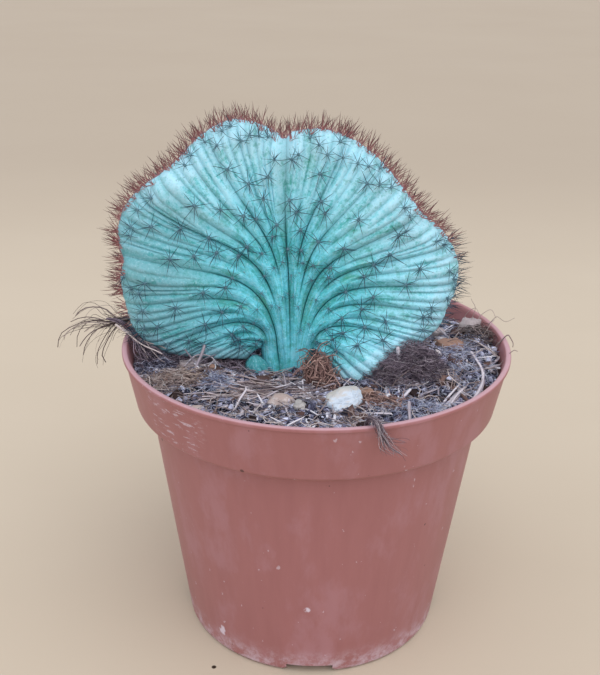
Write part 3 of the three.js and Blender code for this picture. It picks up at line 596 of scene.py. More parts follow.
def pick_shape(graph, inputs, points, rotation, scale, index):
    listed = {"Collection": inputs["Shapes"], "Separate Children": True, "Reset Children": True}
    shapes = graph.node("GeometryNodeCollectionInfo", {"transform_space": "ORIGINAL"}, listed)
    chosen = {"Points": points, "Instance": shapes, "Pick Instance": True, "Instance Index": index}
    placed = {"Rotation": rotation, "Scale": scale}
    return graph.node("GeometryNodeInstanceOnPoints", None, {**chosen, **placed})


def with_tone(graph, instances, seed):
    settings = {"data_type": "FLOAT", "domain": "INSTANCE"}
    tone = random_value(graph, 0.0, 1.0, seed)
    inputs = {"Geometry": instances, "Name": "tone", "Value": tone}
    return graph.node("GeometryNodeStoreNamedAttribute", settings, inputs)


def strewing_tree():
    """Scatters shapes over a ground, lying on it with a random turn and tilt."""
    graph, given = new_tree(
        "Strewn on the ground",
        {
            "Shapes": "NodeSocketCollection",
            "Kinds": "NodeSocketInt",
            "Density": "NodeSocketFloat",
            "Smallest": "NodeSocketFloat",
            "Largest": "NodeSocketFloat",
            "Tilt": "NodeSocketFloat",
            "Seed": "NodeSocketInt",
            "Finish": "NodeSocketMaterial",
        },
    )
    scattered = {"Mesh": given["Geometry"], "Density": given["Density"], "Seed": given["Seed"]}
    points = graph.node("GeometryNodeDistributePointsOnFaces", None, scattered)
    upright = Value(graph, points.socket.node.outputs["Rotation"])
    tilt = given["Tilt"]
    low = graph.node("ShaderNodeCombineXYZ", None, {0: 0 - tilt, 1: 0 - tilt, 2: 0.0})
    high = graph.node("ShaderNodeCombineXYZ", None, {0: tilt, 1: tilt, 2: 2 * math.pi})
    turn = random_value(graph, low, high, 11, "FLOAT_VECTOR")
    settings = {"rotation_space": "LOCAL"}
    rotation = graph.node("FunctionNodeRotateRotation", settings, {0: upright, 1: turn})
    size = random_value(graph, given["Smallest"], given["Largest"], 12)
    index = random_value(graph, 0, given["Kinds"] - 1, 13, "INT")
    laid = pick_shape(graph, given, points, rotation, size, index)
    close_tree(graph, with_tone(graph, laid, 14), given["Finish"])
    return graph.tree


def planting_tree():
    """Puts a shape at each point of a mesh, along the point's own aim and of its own size."""
    graph, given = new_tree(
        "Planted at points",
        {"Shapes": "NodeSocketCollection", "Kinds": "NodeSocketInt", "Finish": "NodeSocketMaterial"},
    )
    vector = {"data_type": "FLOAT_VECTOR"}
    aim = graph.node("GeometryNodeInputNamedAttribute", vector, {"Name": "aim"})
    size = graph.node("GeometryNodeInputNamedAttribute", vector, {"Name": "size"})
    aligned = graph.node("FunctionNodeAlignRotationToVector", {"axis": "Z"}, {"Vector": aim})
    spin = graph.node("ShaderNodeCombineXYZ", None, {2: random_value(graph, 0.0, 2 * math.pi, 21)})
    settings = {"rotation_space": "LOCAL"}
    rotation = graph.node("FunctionNodeRotateRotation", settings, {0: aligned, 1: spin})
    index = random_value(graph, 0, given["Kinds"] - 1, 22, "INT")
    laid = pick_shape(graph, given, given["Geometry"], rotation, size, index)
    close_tree(graph, with_tone(graph, laid, 23), given["Finish"])
    return graph.tree


def strand_tree():
    """Gives each line of a mesh a round skin, as thick as its points say."""
    graph, given = new_tree("Strands", {"Sides": "NodeSocketInt", "Finish": "NodeSocketMaterial"})
    thick = graph.node("GeometryNodeInputNamedAttribute", {"data_type": "FLOAT"}, {"Name": "thick"})
    lines = graph.node("GeometryNodeMeshToCurve", None, {0: given["Geometry"]})
    circle = {"Resolution": given["Sides"], "Radius": 1.0}
    section = graph.node("GeometryNodeCurvePrimitiveCircle", {"mode": "RADIUS"}, circle)
    rolled = {"Curve": lines, "Profile Curve": section, "Scale": thick, "Fill Caps": True}
    made = graph.node("GeometryNodeCurveToMesh", None, rolled)
    close_tree(graph, made, given["Finish"])
    return graph.tree


STREW = strewing_tree()
PLANT = planting_tree()
STRANDS = strand_tree()


def with_tree(piece, tree, values):
    """Runs a geometry tree on a piece and keeps the result as its plain mesh."""
    modifier = piece.modifiers.new(tree.name, "NODES")
    modifier.node_group = tree
    sockets = {s.name: s.identifier for s in tree.interface.items_tree if s.in_out == "INPUT"}
    for label, value in values.items():
        modifier[sockets[label]] = value
    return grown(piece)


def shape_set(name, makers):
    """A collection of small shapes that a tree picks from. It stays out of the scene."""
    kept = bpy.data.collections.new(name)
    for i, (points, faces, tips) in enumerate(makers):
        shape = mesh_object(f"{name}_{i}", np.asarray(points, float) / MM, faces)
        give(shape, "tip", tips)
        bpy.context.collection.objects.unlink(shape)
        kept.objects.link(shape)
    return kept


def tube(path, radii, sides, flat=1):
    """Points, faces and shares along for a closed tube. Flat squeezes its section."""
    path = np.asarray(path, float)
    along = unit(np.gradient(path, axis=0))
    across = unit(np.cross(along, (0.13, 0.21, 1.0)))
    up = np.cross(across, along)
    turns = 2 * np.pi * np.arange(sides) / sides
    wide = across[:, None] * np.cos(turns)[None, :, None]
    high = flat * up[:, None] * np.sin(turns)[None, :, None]
    points = (path[:, None] + (wide + high) * np.asarray(radii, float)[:, None, None]).reshape(-1, 3)
    return points, closed_faces(len(path), sides), np.repeat(np.linspace(0, 1, len(path)), sides)


def spine_shape(seed, thickness):
    """A slightly bent spine one unit long, up Z."""
    shares = np.array([0, 0.35, 0.7, 1])
    bend = 0.12 * sway(seed, 1) * shares ** 2
    path = np.stack([bend, 0.1 * sway(seed, 2) * shares ** 2, shares], 1)
    return tube(path, thickness * np.array([1, 0.85, 0.6, 0.08]), 4)


def fibre_shape(seed, thickness, bend):
    """A curved fibre one unit long, lying along X."""
    shares = np.linspace(-0.5, 0.5, 6)
    side = bend * sway(seed, 1) * (1 - (2 * shares) ** 2) + 0.3 * bend * np.sin(9 * shares + seed)
    lift = 0.4 * bend * chance(seed, 2) * (1 - (2 * shares) ** 2) + 0.01
    radii = thickness * np.array([0.45, 0.9, 1, 1, 0.85, 0.4])
    return tube(np.stack([shares, side, lift], 1), radii, 3)


def splinter_shape(seed, half_width, flat):
    """A nearly straight strip one unit long, lying along X, with broken ends."""
    shares = np.array([-0.5, -0.46, -0.1 + 0.1 * sway(seed, 1), 0.2, 0.44, 0.5])
    step = np.arange(6)
    side = 0.05 * sway(seed, 2) * shares + 0.035 * sway(step, seed)
    lift = 0.03 * chance(step, seed + 1)
    radii = half_width * (0.8 + 0.4 * chance(step, seed + 2)) * np.array([0.5, 1, 1, 1, 0.9, 0.3])
    return tube(np.stack([shares, side, lift], 1), radii, 4, flat)


def lump_shape(seed, half, roughness, fineness=1):
    """An irregular lump round the origin."""
    made = bmesh.new()
    bmesh.ops.create_icosphere(made, subdivisions=fineness, radius=1)
    points = np.array([v.co for v in made.verts])
    faces = [[v.index for v in f.verts] for f in made.faces]
    made.free()
    swell = 1 + roughness * sway(np.arange(len(points)) + 50 * seed, 3)
    return points * swell[:, None] * np.asarray(half), faces, np.zeros(len(points))


SPINES = shape_set("spine_shape", [spine_shape(i, 0.024) for i in range(4)])
YOUNG_SPINES = shape_set("young_spine_shape", [spine_shape(i + 9, 0.021) for i in range(4)])
PADS = shape_set("pad_shape", [lump_shape(i, (1, 1, 0.75), 0.14, 2) for i in range(3)])
FIBRES = shape_set("fibre_shape", [fibre_shape(i, 0.017, 0.3) for i in range(6)])
HAIRS = shape_set("hair_shape", [fibre_shape(i + 7, 0.012, 0.5) for i in range(6)])
STRAWS = shape_set("straw_shape", [splinter_shape(i + 7, 0.026, 0.6) for i in range(5)])
STRIPS = shape_set("strip_shape", [splinter_shape(i + 17, 0.075, 0.3) for i in range(5)])
CRUMBS = shape_set("crumb_shape", [lump_shape(i, (1, 0.85, 0.7), 0.3) for i in range(5)])
CHIPS = shape_set("chip_shape", [lump_shape(i + 9, (1, 0.6, 0.24), 0.34) for i in range(5)])


def planted(name, shapes, places, aims, sizes, finish):
    """Shapes planted at places in millimetres. A size is a length, or one for each axis."""
    piece = mesh_object(name, places, [])
    give(piece, "aim", aims, "FLOAT_VECTOR")
    sizes = np.asarray(sizes, float)
    if sizes.ndim == 1:
        sizes = np.repeat(sizes[:, None], 3, 1)
    give(piece, "size", sizes * MM, "FLOAT_VECTOR")
    values = {"Shapes": shapes, "Kinds": len(shapes.objects), "Finish": FINISHES[finish]}
    return with_tree(piece, PLANT, values)


def strands(name, paths, radii, sides, finish, tones):
    """Round strands along paths in millimetres. Radii gives each strand's, thick end first."""
    points = np.concatenate(paths)
    edges = []
    start = 0
    for path in paths:
        edges += [(start + i, start + i + 1) for i in range(len(path) - 1)]
        start += len(path)
    mesh = bpy.data.meshes.new(name)
    mesh.from_pydata((points * MM).tolist(), edges, [])
    piece = linked(name, mesh)
    thick = [r * np.linspace(1, 0.45, len(p)) for r, p in zip(radii, paths)]
    give(piece, "thick", np.concatenate(thick) * MM)
    give(piece, "tone", np.concatenate([np.full(len(p), t) for p, t in zip(paths, tones)]))
    made = with_tree(piece, STRANDS, {"Sides": sides, "Finish": FINISHES[finish]})
    made.data.shade_smooth()
    return made


# The pot

def inner_radius(z):
    """Inner radius of the pot's wall at a height."""
    body_inner = BODY_TOP_RADIUS - WALL
    band_inner = BAND_RADIUS - WALL
    body = blend(BASE_RADIUS - WALL, body_inner, z / (BODY_TOP + 1))
    step = blend(body_inner, band_inner, (z - BODY_TOP - 1) / (BAND_BOTTOM - BODY_TOP))
    share = (z - BAND_BOTTOM - 1) / (POT_HEIGHT - BAND_BOTTOM - 1)
    band = blend(band_inner, RIM_RADIUS - LIP - 0.4, share)
    return np.where(z <= BODY_TOP + 1, body, np.where(z <= BAND_BOTTOM + 1, step, band))


def rounded(profile, radius):
    """The profile with each inner corner turned into a short curve."""
    profile = np.asarray(profile, float)
    line = [profile[0]]
    for before, corner, after in zip(profile, profile[1:], profile[2:]):
        into, out = before - corner, after - corner
        reach = min(radius, 0.45 * np.linalg.norm(into), 0.45 * np.linalg.norm(out))
        start = corner + unit(into) * reach
        end = corner + unit(out) * reach
        for u in np.linspace(0, 1, 5):
            line.append((1 - u) ** 2 * start + 2 * u * (1 - u) * corner + u * u * end)
    line.append(profile[-1])
    return np.array(line)


def lathe(name, profile, sides, finish):
    """A closed body turned round the Z axis from a profile that starts and ends on it."""
    turns = 2 * np.pi * np.arange(sides) / sides
    rings = profile[1:-1]
    points = [(0, 0, profile[0][1])]
    points += [(r * math.cos(a), r * math.sin(a), z) for r, z in rings for a in turns]
    points.append((0, 0, profile[-1][1]))
    faces = [[n + 1 for n in face] for face in ring_faces(len(rings), sides)]
    last = 1 + (len(rings) - 1) * sides
    for i in range(sides):
        after = (i + 1) % sides
        faces.append([0, 1 + after, 1 + i])
        faces.append([last + i, last + after, len(points) - 1])
    return tidy(mesh_object(name, points, faces, finish))


def cut_with(piece, cutters):
    """Cuts closed cutters out of a piece, one by one, and removes them."""
    for cutter in cutters:
        modifier = piece.modifiers.new("cut", "BOOLEAN")
        modifier.operation = "DIFFERENCE"
        modifier.solver = "EXACT"
        modifier.object = cutter
    grown(piece)
    for cutter in cutters:
        bpy.data.objects.remove(cutter)


def block(name, low, high, turn):
    """A box between two corners in millimetres, turned round the Z axis."""
    xs, ys, zs = zip(low, high)
    points = [(x, y, z) for x in xs for y in ys for z in zs]
    faces = [(0, 1, 3, 2), (4, 6, 7, 5), (0, 4, 5, 1), (2, 3, 7, 6), (0, 2, 6, 4), (1, 5, 7, 3)]
    box = mesh_object(name, points, faces)
    box.data.transform(Matrix.Rotation(turn, 4, "Z"))
    return box


# Each foot notch is cut in steps: how much wider than the notch each is, and how high it reaches
NOTCH_STEPS = [(0.6, FOOT_HEIGHT + 0.7), (2, 1.6), (3.4, 0.8)]


def make_pot():
    lip_bottom = POT_HEIGHT - 1.3
    outside = [
        (0, 0),
        (PAD_RADIUS, 0),
        (PAD_RADIUS + 1.5, FOOT_HEIGHT),
        (FOOT_INNER_RADIUS - 1.5, FOOT_HEIGHT),
        (FOOT_INNER_RADIUS, 0),
        (BASE_RADIUS - 1, 0),
        (BASE_RADIUS + 0.1, 1),
        (BODY_TOP_RADIUS, BODY_TOP),
        (BODY_TOP_RADIUS + 1.2, BODY_TOP + 1.2),
        (BAND_RADIUS - 0.6, BAND_BOTTOM - 0.7),
        (BAND_RADIUS, BAND_BOTTOM),
        (RIM_RADIUS - 0.7, lip_bottom - 0.2),
        (RIM_RADIUS, lip_bottom),
        (RIM_RADIUS, POT_HEIGHT - 0.3),
        (RIM_RADIUS - 0.4, POT_HEIGHT),
    ]
    heights = (POT_HEIGHT - 1, BAND_BOTTOM + 1, BODY_TOP + 1, FLOOR_TOP + 1)
    inside = [(RIM_RADIUS - LIP, POT_HEIGHT)]
    inside += [(float(inner_radius(z)), z) for z in heights]
    inside += [(float(inner_radius(FLOOR_TOP)) - 1, FLOOR_TOP), (0, FLOOR_TOP)]
    pot = lathe("nursery_pot", rounded(outside + inside, 0.5), POT_SIDES, "pot_plastic")
    cutters = []
    for i in range(NOTCHES):
        for step, (wider, top) in enumerate(NOTCH_STEPS):
            across = (NOTCH_WIDTH + wider) / 2
            low = (-across, -BASE_RADIUS - 2, -FOOT_HEIGHT)
            high = (across, -FOOT_INNER_RADIUS + 2, top)
            cutters.append(block(f"notch_{i}_{step}", low, high, 2 * math.pi * i / NOTCHES))
    for i in range(DRAINS):
        turn = (i + 0.5) * 2 * math.pi / DRAINS
        centre = DRAIN_CIRCLE * np.array([math.cos(turn), math.sin(turn)])
        ends = np.array([[*centre, -1.0], [*centre, FLOOR_TOP + 2.0]])
        points, faces, _ = tube(ends, [DRAIN_RADIUS] * 2, 24)
        cutters.append(tidy(mesh_object(f"drain_{i}", points, faces)))
    cut_with(pot, cutters)
    pot.data.set_sharp_from_angle(angle=math.radians(40))
    set_piece(pot, "terracotta_plastic", "pot")


# The crest

def through_points(points):
    """A smooth curve through points, followed by its share of the whole chord length."""
    points = np.asarray(points, float)
    steps = np.linalg.norm(np.diff(points, axis=0), axis=1)
    along = np.concatenate([[0], np.cumsum(steps)])
    before = np.maximum(np.arange(len(points)) - 1, 0)
    after = np.minimum(np.arange(len(points)) + 1, len(points) - 1)
    slopes = (points[after] - points[before]) / (along[after] - along[before])[:, None]

    def at(share):
        place = np.clip(share, 0, 1) * along[-1]
        i = np.clip(np.searchsorted(along[1:], place), 0, len(points) - 2)
        step = (along[i + 1] - along[i])[..., None]
        u = (place - along[i])[..., None] / step
        start = (2 * u ** 3 - 3 * u ** 2 + 1) * points[i] + (u ** 3 - 2 * u ** 2 + u) * step * slopes[i]
        end = (3 * u ** 2 - 2 * u ** 3) * points[i + 1] + (u ** 3 - u ** 2) * step * slopes[i + 1]
        return start + end

    return at


edge_at = through_points(GROWING_EDGE)
Areole = namedtuple("Areole", "centre out up across seed side size")


def neck_at(t):
    """Where the lines of growth leave the neck."""
    climb = 1 - smooth(0, NECK_SIDE_SHARE, np.minimum(t, 1 - t))
    offset = (2 * t - 1) * NECK_HALF_WIDTH + np.sign(2 * t - 1) * NECK_FLARE * climb
    return np.stack([NECK[0] + offset, NECK[1] + 0 * t, NECK[2] + NECK_SIDE_RISE * climb], -1)


def growth_line(t):
    """The four control points of a line of growth, from the neck to the growing edge."""
    start = neck_at(t)
    end = edge_at(t)
    reach = np.linalg.norm(end - start, axis=-1)[..., None]
    rise = start + RISE_SHARE * reach * np.array([0, 0, 1])
    return start, rise, end - APPROACH_SHARE * reach * unit(end - RADIATE_FROM), end


def mid_point(t, v):
    """A place in the middle of the plate."""
    a, b, c, d = growth_line(np.clip(t, 0, 1))
    v = np.clip(v, 0, 1)[..., None]
    return a * (1 - v) ** 3 + 3 * b * v * (1 - v) ** 2 + 3 * c * v * v * (1 - v) + d * v ** 3


def growth_direction(t, v):
    return unit(mid_point(t, v + 1e-4) - mid_point(t, v - 1e-4))


def shoulder(t):
    """Where the flat of the plate ends and its round crown begins."""
    length = np.linalg.norm(edge_at(t) - neck_at(t), axis=-1) * LINE_BEND
    return 1 - np.minimum(CROWN_LENGTH, 0.4 * length) / length


def facing(t, v):
    """The direction square to the plate, towards the front."""
    across = mid_point(t + SLOPE_STEP, v) - mid_point(t - SLOPE_STEP, v)
    along = mid_point(t, v + SLOPE_STEP) - mid_point(t, v - SLOPE_STEP)
    square = unit(np.cross(across, along))
    settled = smooth(0.01, 0.09, np.minimum(t, 1 - t)) * smooth(NECK_SHARE, 1, v)
    ahead = np.array([0, -1, 0])
    return unit(blend(ahead, square, settled[..., None]))


def groove_start(k):
    """How far up the line groove k starts, and its strength. The small ribs fork near the edge."""
    return LEADING_GROOVES.get(k, (0.62 + 0.22 * chance(k, 3), 0.55 + 0.2 * chance(k, 7)))


def groove_position(k):
    shift = 0 if k in (0, RIBS) else 0.22 * sway(k, 4)
    return (k + shift) / RIBS


def end_rounding(t):
    share = np.clip(np.minimum(t, 1 - t) / END_SHARE, 0, 1)
    return np.sqrt(1 - (1 - share) ** 2)


def half_depth(t, v):
    round_neck = NECK_HALF_DEPTH * np.sqrt(1 - (2 * t - 1) ** 2 * 0.98)
    plate = blend(PLATE_HALF_DEPTH, EDGE_HALF_DEPTH, v)
    return blend(round_neck, plate, smooth(0, 0.4, v)) * end_rounding(t)


def skin(t, flat, turn, side, sunk=0.0, margin=0.0):
    """A place on the skin, sunk below the ridges or held off them."""
    start = shoulder(t)
    v = np.where(turn > 0, blend(start, 1, np.sin(turn)), flat * start)
    level = np.maximum(np.cos(turn), 0)
    depth = (half_depth(t, v) - sunk) * level + margin * np.sqrt(level)
    out = (margin - 0.6 * sunk) * np.sin(turn)
    place = mid_point(t, v) + facing(t, v) * (side * depth)[..., None]
    return place + unit(growth_direction(t, np.ones_like(v))) * out[..., None]


def crest_grid():
    """The columns and rows that the crest's skin is drawn on, as arrays of one shape."""
    places = [groove_position(k) for k in range(RIBS + 1)]
    columns = [blend(a, b, s) for a, b in zip(places, places[1:]) for s in RIB_OFFSETS]
    columns.append(1.0)
    flats = np.linspace(0, 1, FLAT_STEPS)
    turns = np.radians(np.linspace(0, 90, CROWN_STEPS + 1)[1:])
    flat = np.concatenate([flats, np.ones(CROWN_STEPS)])
    turn = np.concatenate([np.zeros(FLAT_STEPS), turns])
    side = np.ones(len(flat))
    flat = np.concatenate([flat, flat[-2::-1]])
    turn = np.concatenate([turn, turn[-2::-1]])
    side = np.concatenate([side, -side[1:]])
    t, row = np.meshgrid(np.array(columns), np.arange(len(flat)), indexing="ij")
    return SimpleNamespace(t=t, flat=flat[row], turn=turn[row], side=side[row])


def groove_depths(grid):
    """How deep each place lies in the grooves, and how far into their narrow clefts, where the skin gets
    painted shade.
    """
    v = np.where(grid.turn > 0, 1, grid.flat * shoulder(grid.t))
    middle = mid_point(grid.t, v)
    ribs = grid.t * RIBS
    spacing = np.linalg.norm(np.gradient(middle, axis=0), axis=-1) / np.gradient(ribs, axis=0)
    deep = np.zeros_like(ribs)
    dark = np.zeros_like(ribs)
    for k in range(RIBS + 1):
        start, strength = groove_start(k)
        opening = strength * smooth(start - 0.02, start + 0.16, grid.flat)
        faint = blend(1, 0.5, smooth(0.5, 0.88, grid.flat))
        away = np.abs(ribs - groove_position(k) * RIBS) * spacing
        narrow = np.exp(-((away / 0.3) ** 1.4))
        broad = np.exp(-((away / (0.7 + 1.5 * strength)) ** 2))
        deep = np.maximum(deep, opening * (0.5 * narrow + 0.95 * broad))
        dark = np.maximum(dark, np.minimum(1.2 * opening ** 1.7, 1) * faint * narrow)
    return deep, dark


def areoles():
    """Every areole's place on the skin with its three directions, staggered from rib to rib."""
    found = []
    for k in range(3, RIBS - 2, 2):
        t = (groove_position(k) + groove_position(k + 1)) / 2
        for j, step in enumerate(AREOLE_ROWS):
            if ((k - 1) // 2 + j) % AREOLE_STAGGER:
                continue
            for side in (1, -1):
                seed = 100 * k + j + (0 if side > 0 else 20000)
                row = step + 0.3 * sway(seed, 10)
                flat = np.interp(row, range(len(FLAT_ROWS)), FLAT_ROWS)
                place = [np.array([x]) for x in (t, flat, 0.0, side)]
                centre = skin(*place)[0]
                if centre[2] < mix_height(centre[0], centre[1]) + 4:
                    continue
                v = np.array([flat * shoulder(place[0])[0]])
                out = facing(place[0], v)[0] * side
                up = growth_direction(place[0], v)[0]
                across = unit(np.cross(out, up))
                size = blend(0.4, 1, smooth(0.25, 0.65, flat))
                found.append(Areole(centre, out, up, across, seed, side, size))
    return found


def young_areoles():
    """Smaller areoles on the round of the crown, which the solids leave to the spine band."""
    found = []
    first, last = band_span()
    for k in range(2, RIBS - 1):
        for side in (1, -1):
            seed = 40000 + 100 * k + side
            t = (k + 0.5) / RIBS
            if chance(seed, 1) < 0.22 or not first < t < last:
                continue
            turn = math.radians(2 + 52 * chance(seed, 2))
            centre = skin(*(np.array([x]) for x in (t, 1.0, turn, side)))[0]
            level = facing(np.array([t]), np.ones(1))[0] * side
            rise = growth_direction(np.array([t]), np.ones(1))[0]
            out = unit(level * math.cos(turn) + rise * math.sin(turn))
            up = unit(rise * math.cos(turn) - level * math.sin(turn))
            found.append(Areole(centre, out, up, np.cross(out, up), seed, side, 0.8))
    return found


def make_crest(spots):
    grid = crest_grid()
    deep, dark = groove_depths(grid)
    fade = blend(1, 0.4, np.sin(grid.turn) ** 4)
    sunk = GROOVE_DEPTH * deep * fade * end_rounding(grid.t)
    points = skin(grid.t, grid.flat, grid.turn, grid.side, sunk)
    v = np.where(grid.turn > 0, 1, grid.flat * shoulder(grid.t))
    out = facing(grid.t, v) * grid.side[..., None]
    # Each areole sits on a low knob with a crease above it.
    raised = np.zeros(grid.t.shape)
    for spot in spots:
        near = points - spot.centre
        away = np.linalg.norm(near, axis=-1)
        above = near @ spot.up
        side = grid.side == spot.side
        raised += side * (0.42 * np.exp(-((away / 1.5) ** 2)))
        raised -= side * 0.3 * np.exp(-(((above - 2.3) / 0.8) ** 2) - ((near @ spot.across) / 1.6) ** 2)
    swell = np.array([noise.noise(Vector(p) * 0.09) for p in points.reshape(-1, 3)])
    swell = swell.reshape(grid.t.shape)
    points += out * ((raised + 0.35 * swell) * np.cos(grid.turn) * end_rounding(grid.t))[..., None]
    # The neck's left arm is broader just over the mix.
    x, z = points[..., 0], points[..., 2]
    points[..., 0] -= ARM_WIDENING * smooth(-11, -15.5, x) * smooth(109, 99, z) * smooth(-19, -16, x)
    faces = ring_faces(*grid.t.shape)
    piece = mesh_object("crested_stem", points.reshape(-1, 3), faces, "waxy_skin")
    # The groove and valley shares give the skin painted shade in its clefts and valleys.
    give(piece, "groove", dark)
    give(piece, "valley", deep)
    give(piece, "along", v)
    # Painted shade, greener and darker towards the fan's left and low beside the neck.
    shaded = 0.8 * smooth(116, 104, z) * smooth(-12, -22, x)
    give(piece, "worn", np.maximum(smooth(-20, -54, x) * smooth(162, 142, z), shaded))
    line = np.linalg.norm(edge_at(grid.t) - neck_at(grid.t), axis=-1)
    give(piece, "grain", np.stack([grid.t * RIBS, v * line, 9 * grid.side], -1), "FLOAT_VECTOR")
    tidy(piece)
    return set_piece(piece, "waxy_skin", "crest_stem")


def make_areole_spines(spots):
    places, aims, lengths = [], [], []
    for spot in spots:
        count = 8 + int(3 * chance(spot.seed, 31))
        for n in range(count):
            turn = 2 * math.pi * (n + 0.35 * sway(spot.seed, 40 + n)) / count
            radial = math.cos(turn) * spot.across + math.sin(turn) * spot.up
            lean = 0.5 + 0.25 * sway(spot.seed, 60 + n)
            places.append(spot.centre + 0.3 * spot.out + 0.3 * radial)
            aims.append(unit(radial + lean * spot.out))
            lengths.append(spot.size * (3.4 + 2.4 * chance(spot.seed, 80 + n)))
        for n in range(1 + int(1.6 * chance(spot.seed, 33))):
            upward = 0.9 * sway(spot.seed, 34 + n)
            sideways = 0.6 * sway(spot.seed, 36 + n)
            places.append(spot.centre + 0.3 * spot.out)
            aims.append(unit(spot.out + upward * spot.up + sideways * spot.across))
            lengths.append(spot.size * (4.8 + 2.8 * chance(spot.seed, 38 + n)))
    piece = planted("areole_spines", SPINES, places, aims, lengths, "grey_spines")
    pads = planted(
        "areole_felt",
        PADS,
        [s.centre + 0.1 * s.out for s in spots],
        [s.out for s in spots],
        [[0.6 * s.size, 0.6 * s.size, 0.5] for s in spots],
        "areole_felt",
    )
    for made in (piece, pads):
        set_piece(made, "waxy_skin")


def band_span():
    """The shares of the growing edge between which it stands clear of the mix."""
    t = np.array([groove_position(k) for k in range(RIBS + 1)])
    crown = edge_at(t)
    above = t[crown[:, 2] > mix_height(crown[:, 0], crown[:, 1]) + BAND_ABOVE_MIX]
    return above[0], above[-1]


def young_share(crown):
    """How thickly the young red spines stand at a place on the growing edge, from 0 to 1."""
    x, z = crown[..., 0], crown[..., 2]
    return np.where(x > 0, smooth(124, 150, z), smooth(103, 122, z))


def make_growing_edge():
    first, last = band_span()
    columns = np.linspace(first, last, FELT_COLUMNS)
    turns = np.radians([80, 82.5, 85, 87.5, 90])
    turn = np.concatenate([turns, turns[-2::-1]])
    margin = np.array([-0.6, -0.25, 0.02, 0.16, 0.22, 0.16, 0.02, -0.25, -0.6])
    side = np.concatenate([np.ones(5), -np.ones(4)])
    t, row = np.meshgrid(columns, np.arange(len(turn)), indexing="ij")
    tufts = np.abs(np.sin(t * RIBS * np.pi)) ** 0.7 + 0.25 * sway(np.round(t * 2400), 5)
    crown = edge_at(t)
    frayed = 0.3 * sway(np.round(t * 9000) + 31 * row, 9)
    rise = margin[row] + 0.62 * tufts + frayed - 0.78 - 1.1 * (1 - young_share(crown))
    places = skin(t, np.ones_like(t), turn[row], side[row], 0.0, rise)
    ones = np.ones(FELT_COLUMNS)
    under = skin(columns, ones, ones * np.pi / 2, ones, 1.2)
    points = np.concatenate([places, under[:, None]], 1)
    faces = closed_faces(FELT_COLUMNS, len(turn) + 1)
    felt = tidy(mesh_object("growing_edge_felt", points.reshape(-1, 3), faces, "edge_felt"))
    set_piece(felt, "red_spines", "crest_spine_band")

    # Each rib ends in three young areoles. Their spines spread like stars, with their feet apart.
    ribs = np.arange(math.ceil(first * RIBS), math.floor(last * RIBS)) + 0.5
    star = np.repeat(np.arange(len(ribs) * 3), STAR_SPINES)
    n = np.arange(len(star))
    t = np.clip((ribs[star // 3] + 0.3 * sway(star, 57) + 0.26 * sway(n, 63)) / RIBS, first, last)
    tilt = np.array([66, 90, 114])[star % 3] + 11 * sway(star, 52)
    angle = np.radians(np.minimum(tilt, 180 - tilt))
    side = np.where(tilt < 90, 1, -1)
    level = np.ones(len(n))
    up = growth_direction(t, level)
    out = facing(t, level) * side[:, None]
    across = np.cross(out, up)
    straight = up * np.sin(angle)[:, None] + out * np.cos(angle)[:, None]
    over = np.cross(across, straight)
    turn = 2 * np.pi * (n % STAR_SPINES + 0.5 * sway(n, 58)) / STAR_SPINES
    spread = 0.2 + 0.95 * chance(n, 59)
    around = across * np.cos(turn)[:, None] + over * np.sin(turn)[:, None]
    places = skin(t, level, angle, side, 0.0, -0.15 * level) + 0.3 * around
    lengths = (3.6 + 3.6 * chance(n, 56)) * blend(1, 0.7, spread - 0.2)
    aims = unit(straight + around * spread[:, None] + 0.25 * up)
    share = young_share(edge_at(t))
    young = chance(n, 61) < share
    old = ~young & (chance(n, 62) < 0.42)
    kinds = [("young_spines", "red_spines", young), ("older_spines", "grey_spines", old)]
    for name, finish, kept in kinds:
        spines = planted(name, YOUNG_SPINES, places[kept], aims[kept], lengths[kept], finish)
        set_piece(spines, "red_spines")


# The potting mix

def mix_height(x, y):
    """Height of the mix's surface, as in the solids."""
    mound = 7 * bump(x, y, 34, -6, 13, 12)
    right_rise = 5 * bump(x, y, 56, 8, 15, 22)
    front_rise = 2 * bump(x, y, -5, -42, 34, 16)
    front_edge = 2 * bump(x, y, 5, -62, 40, 10)
    left_mound = 3 * bump(x, y, -36, -21, 12, 8)
    hollow = -1.2 * bump(x, y, -23, -12, 7, 5)
    return MIX_LEVEL + mound + right_rise + front_rise + front_edge + left_mound + hollow


def crumbly(x, y):
    """Small hills and pits in the mix."""
    broad = np.array([noise.noise(Vector((a, b, 3)) * 0.16) for a, b in zip(x, y)])
    small = np.array([noise.noise(Vector((a, b, 7)) * 0.55) for a, b in zip(x, y)])
    return 1.5 * broad + 0.9 * small


def make_mix():
    """Makes the mix's body, and gives its open top alone as the ground for what lies on it."""
    turns = 2 * np.pi * np.arange(MIX_SIDES) / MIX_SIDES
    radii = (inner_radius(MIX_LEVEL) - 0.3) * np.linspace(1, 0.01, MIX_STEPS)
    x = np.outer(radii, np.cos(turns)).ravel()
    y = np.outer(radii, np.sin(turns)).ravel()
    edge = smooth(0, 4, inner_radius(MIX_LEVEL) - np.hypot(x, y))
    z = mix_height(x, y) + crumbly(x, y) * edge
    top = np.stack([x, y, z], 1)
    wall = []
    for height in (FLOOR_TOP + 0.4, BODY_TOP + 1, BAND_BOTTOM + 1):
        radius = float(inner_radius(height)) - 0.3
        level = np.full(MIX_SIDES, height)
        wall.append(np.stack([radius * np.cos(turns), radius * np.sin(turns), level], 1))
    rings = np.concatenate([*wall, top])
    faces = closed_faces(len(wall) + MIX_STEPS, MIX_SIDES)
    set_piece(tidy(mesh_object("potting_mix_body", rings, faces, "peat")), "peat", "potting_mix")
    return mesh_object("ground", top, [face[::-1] for face in ring_faces(MIX_STEPS, MIX_SIDES)])


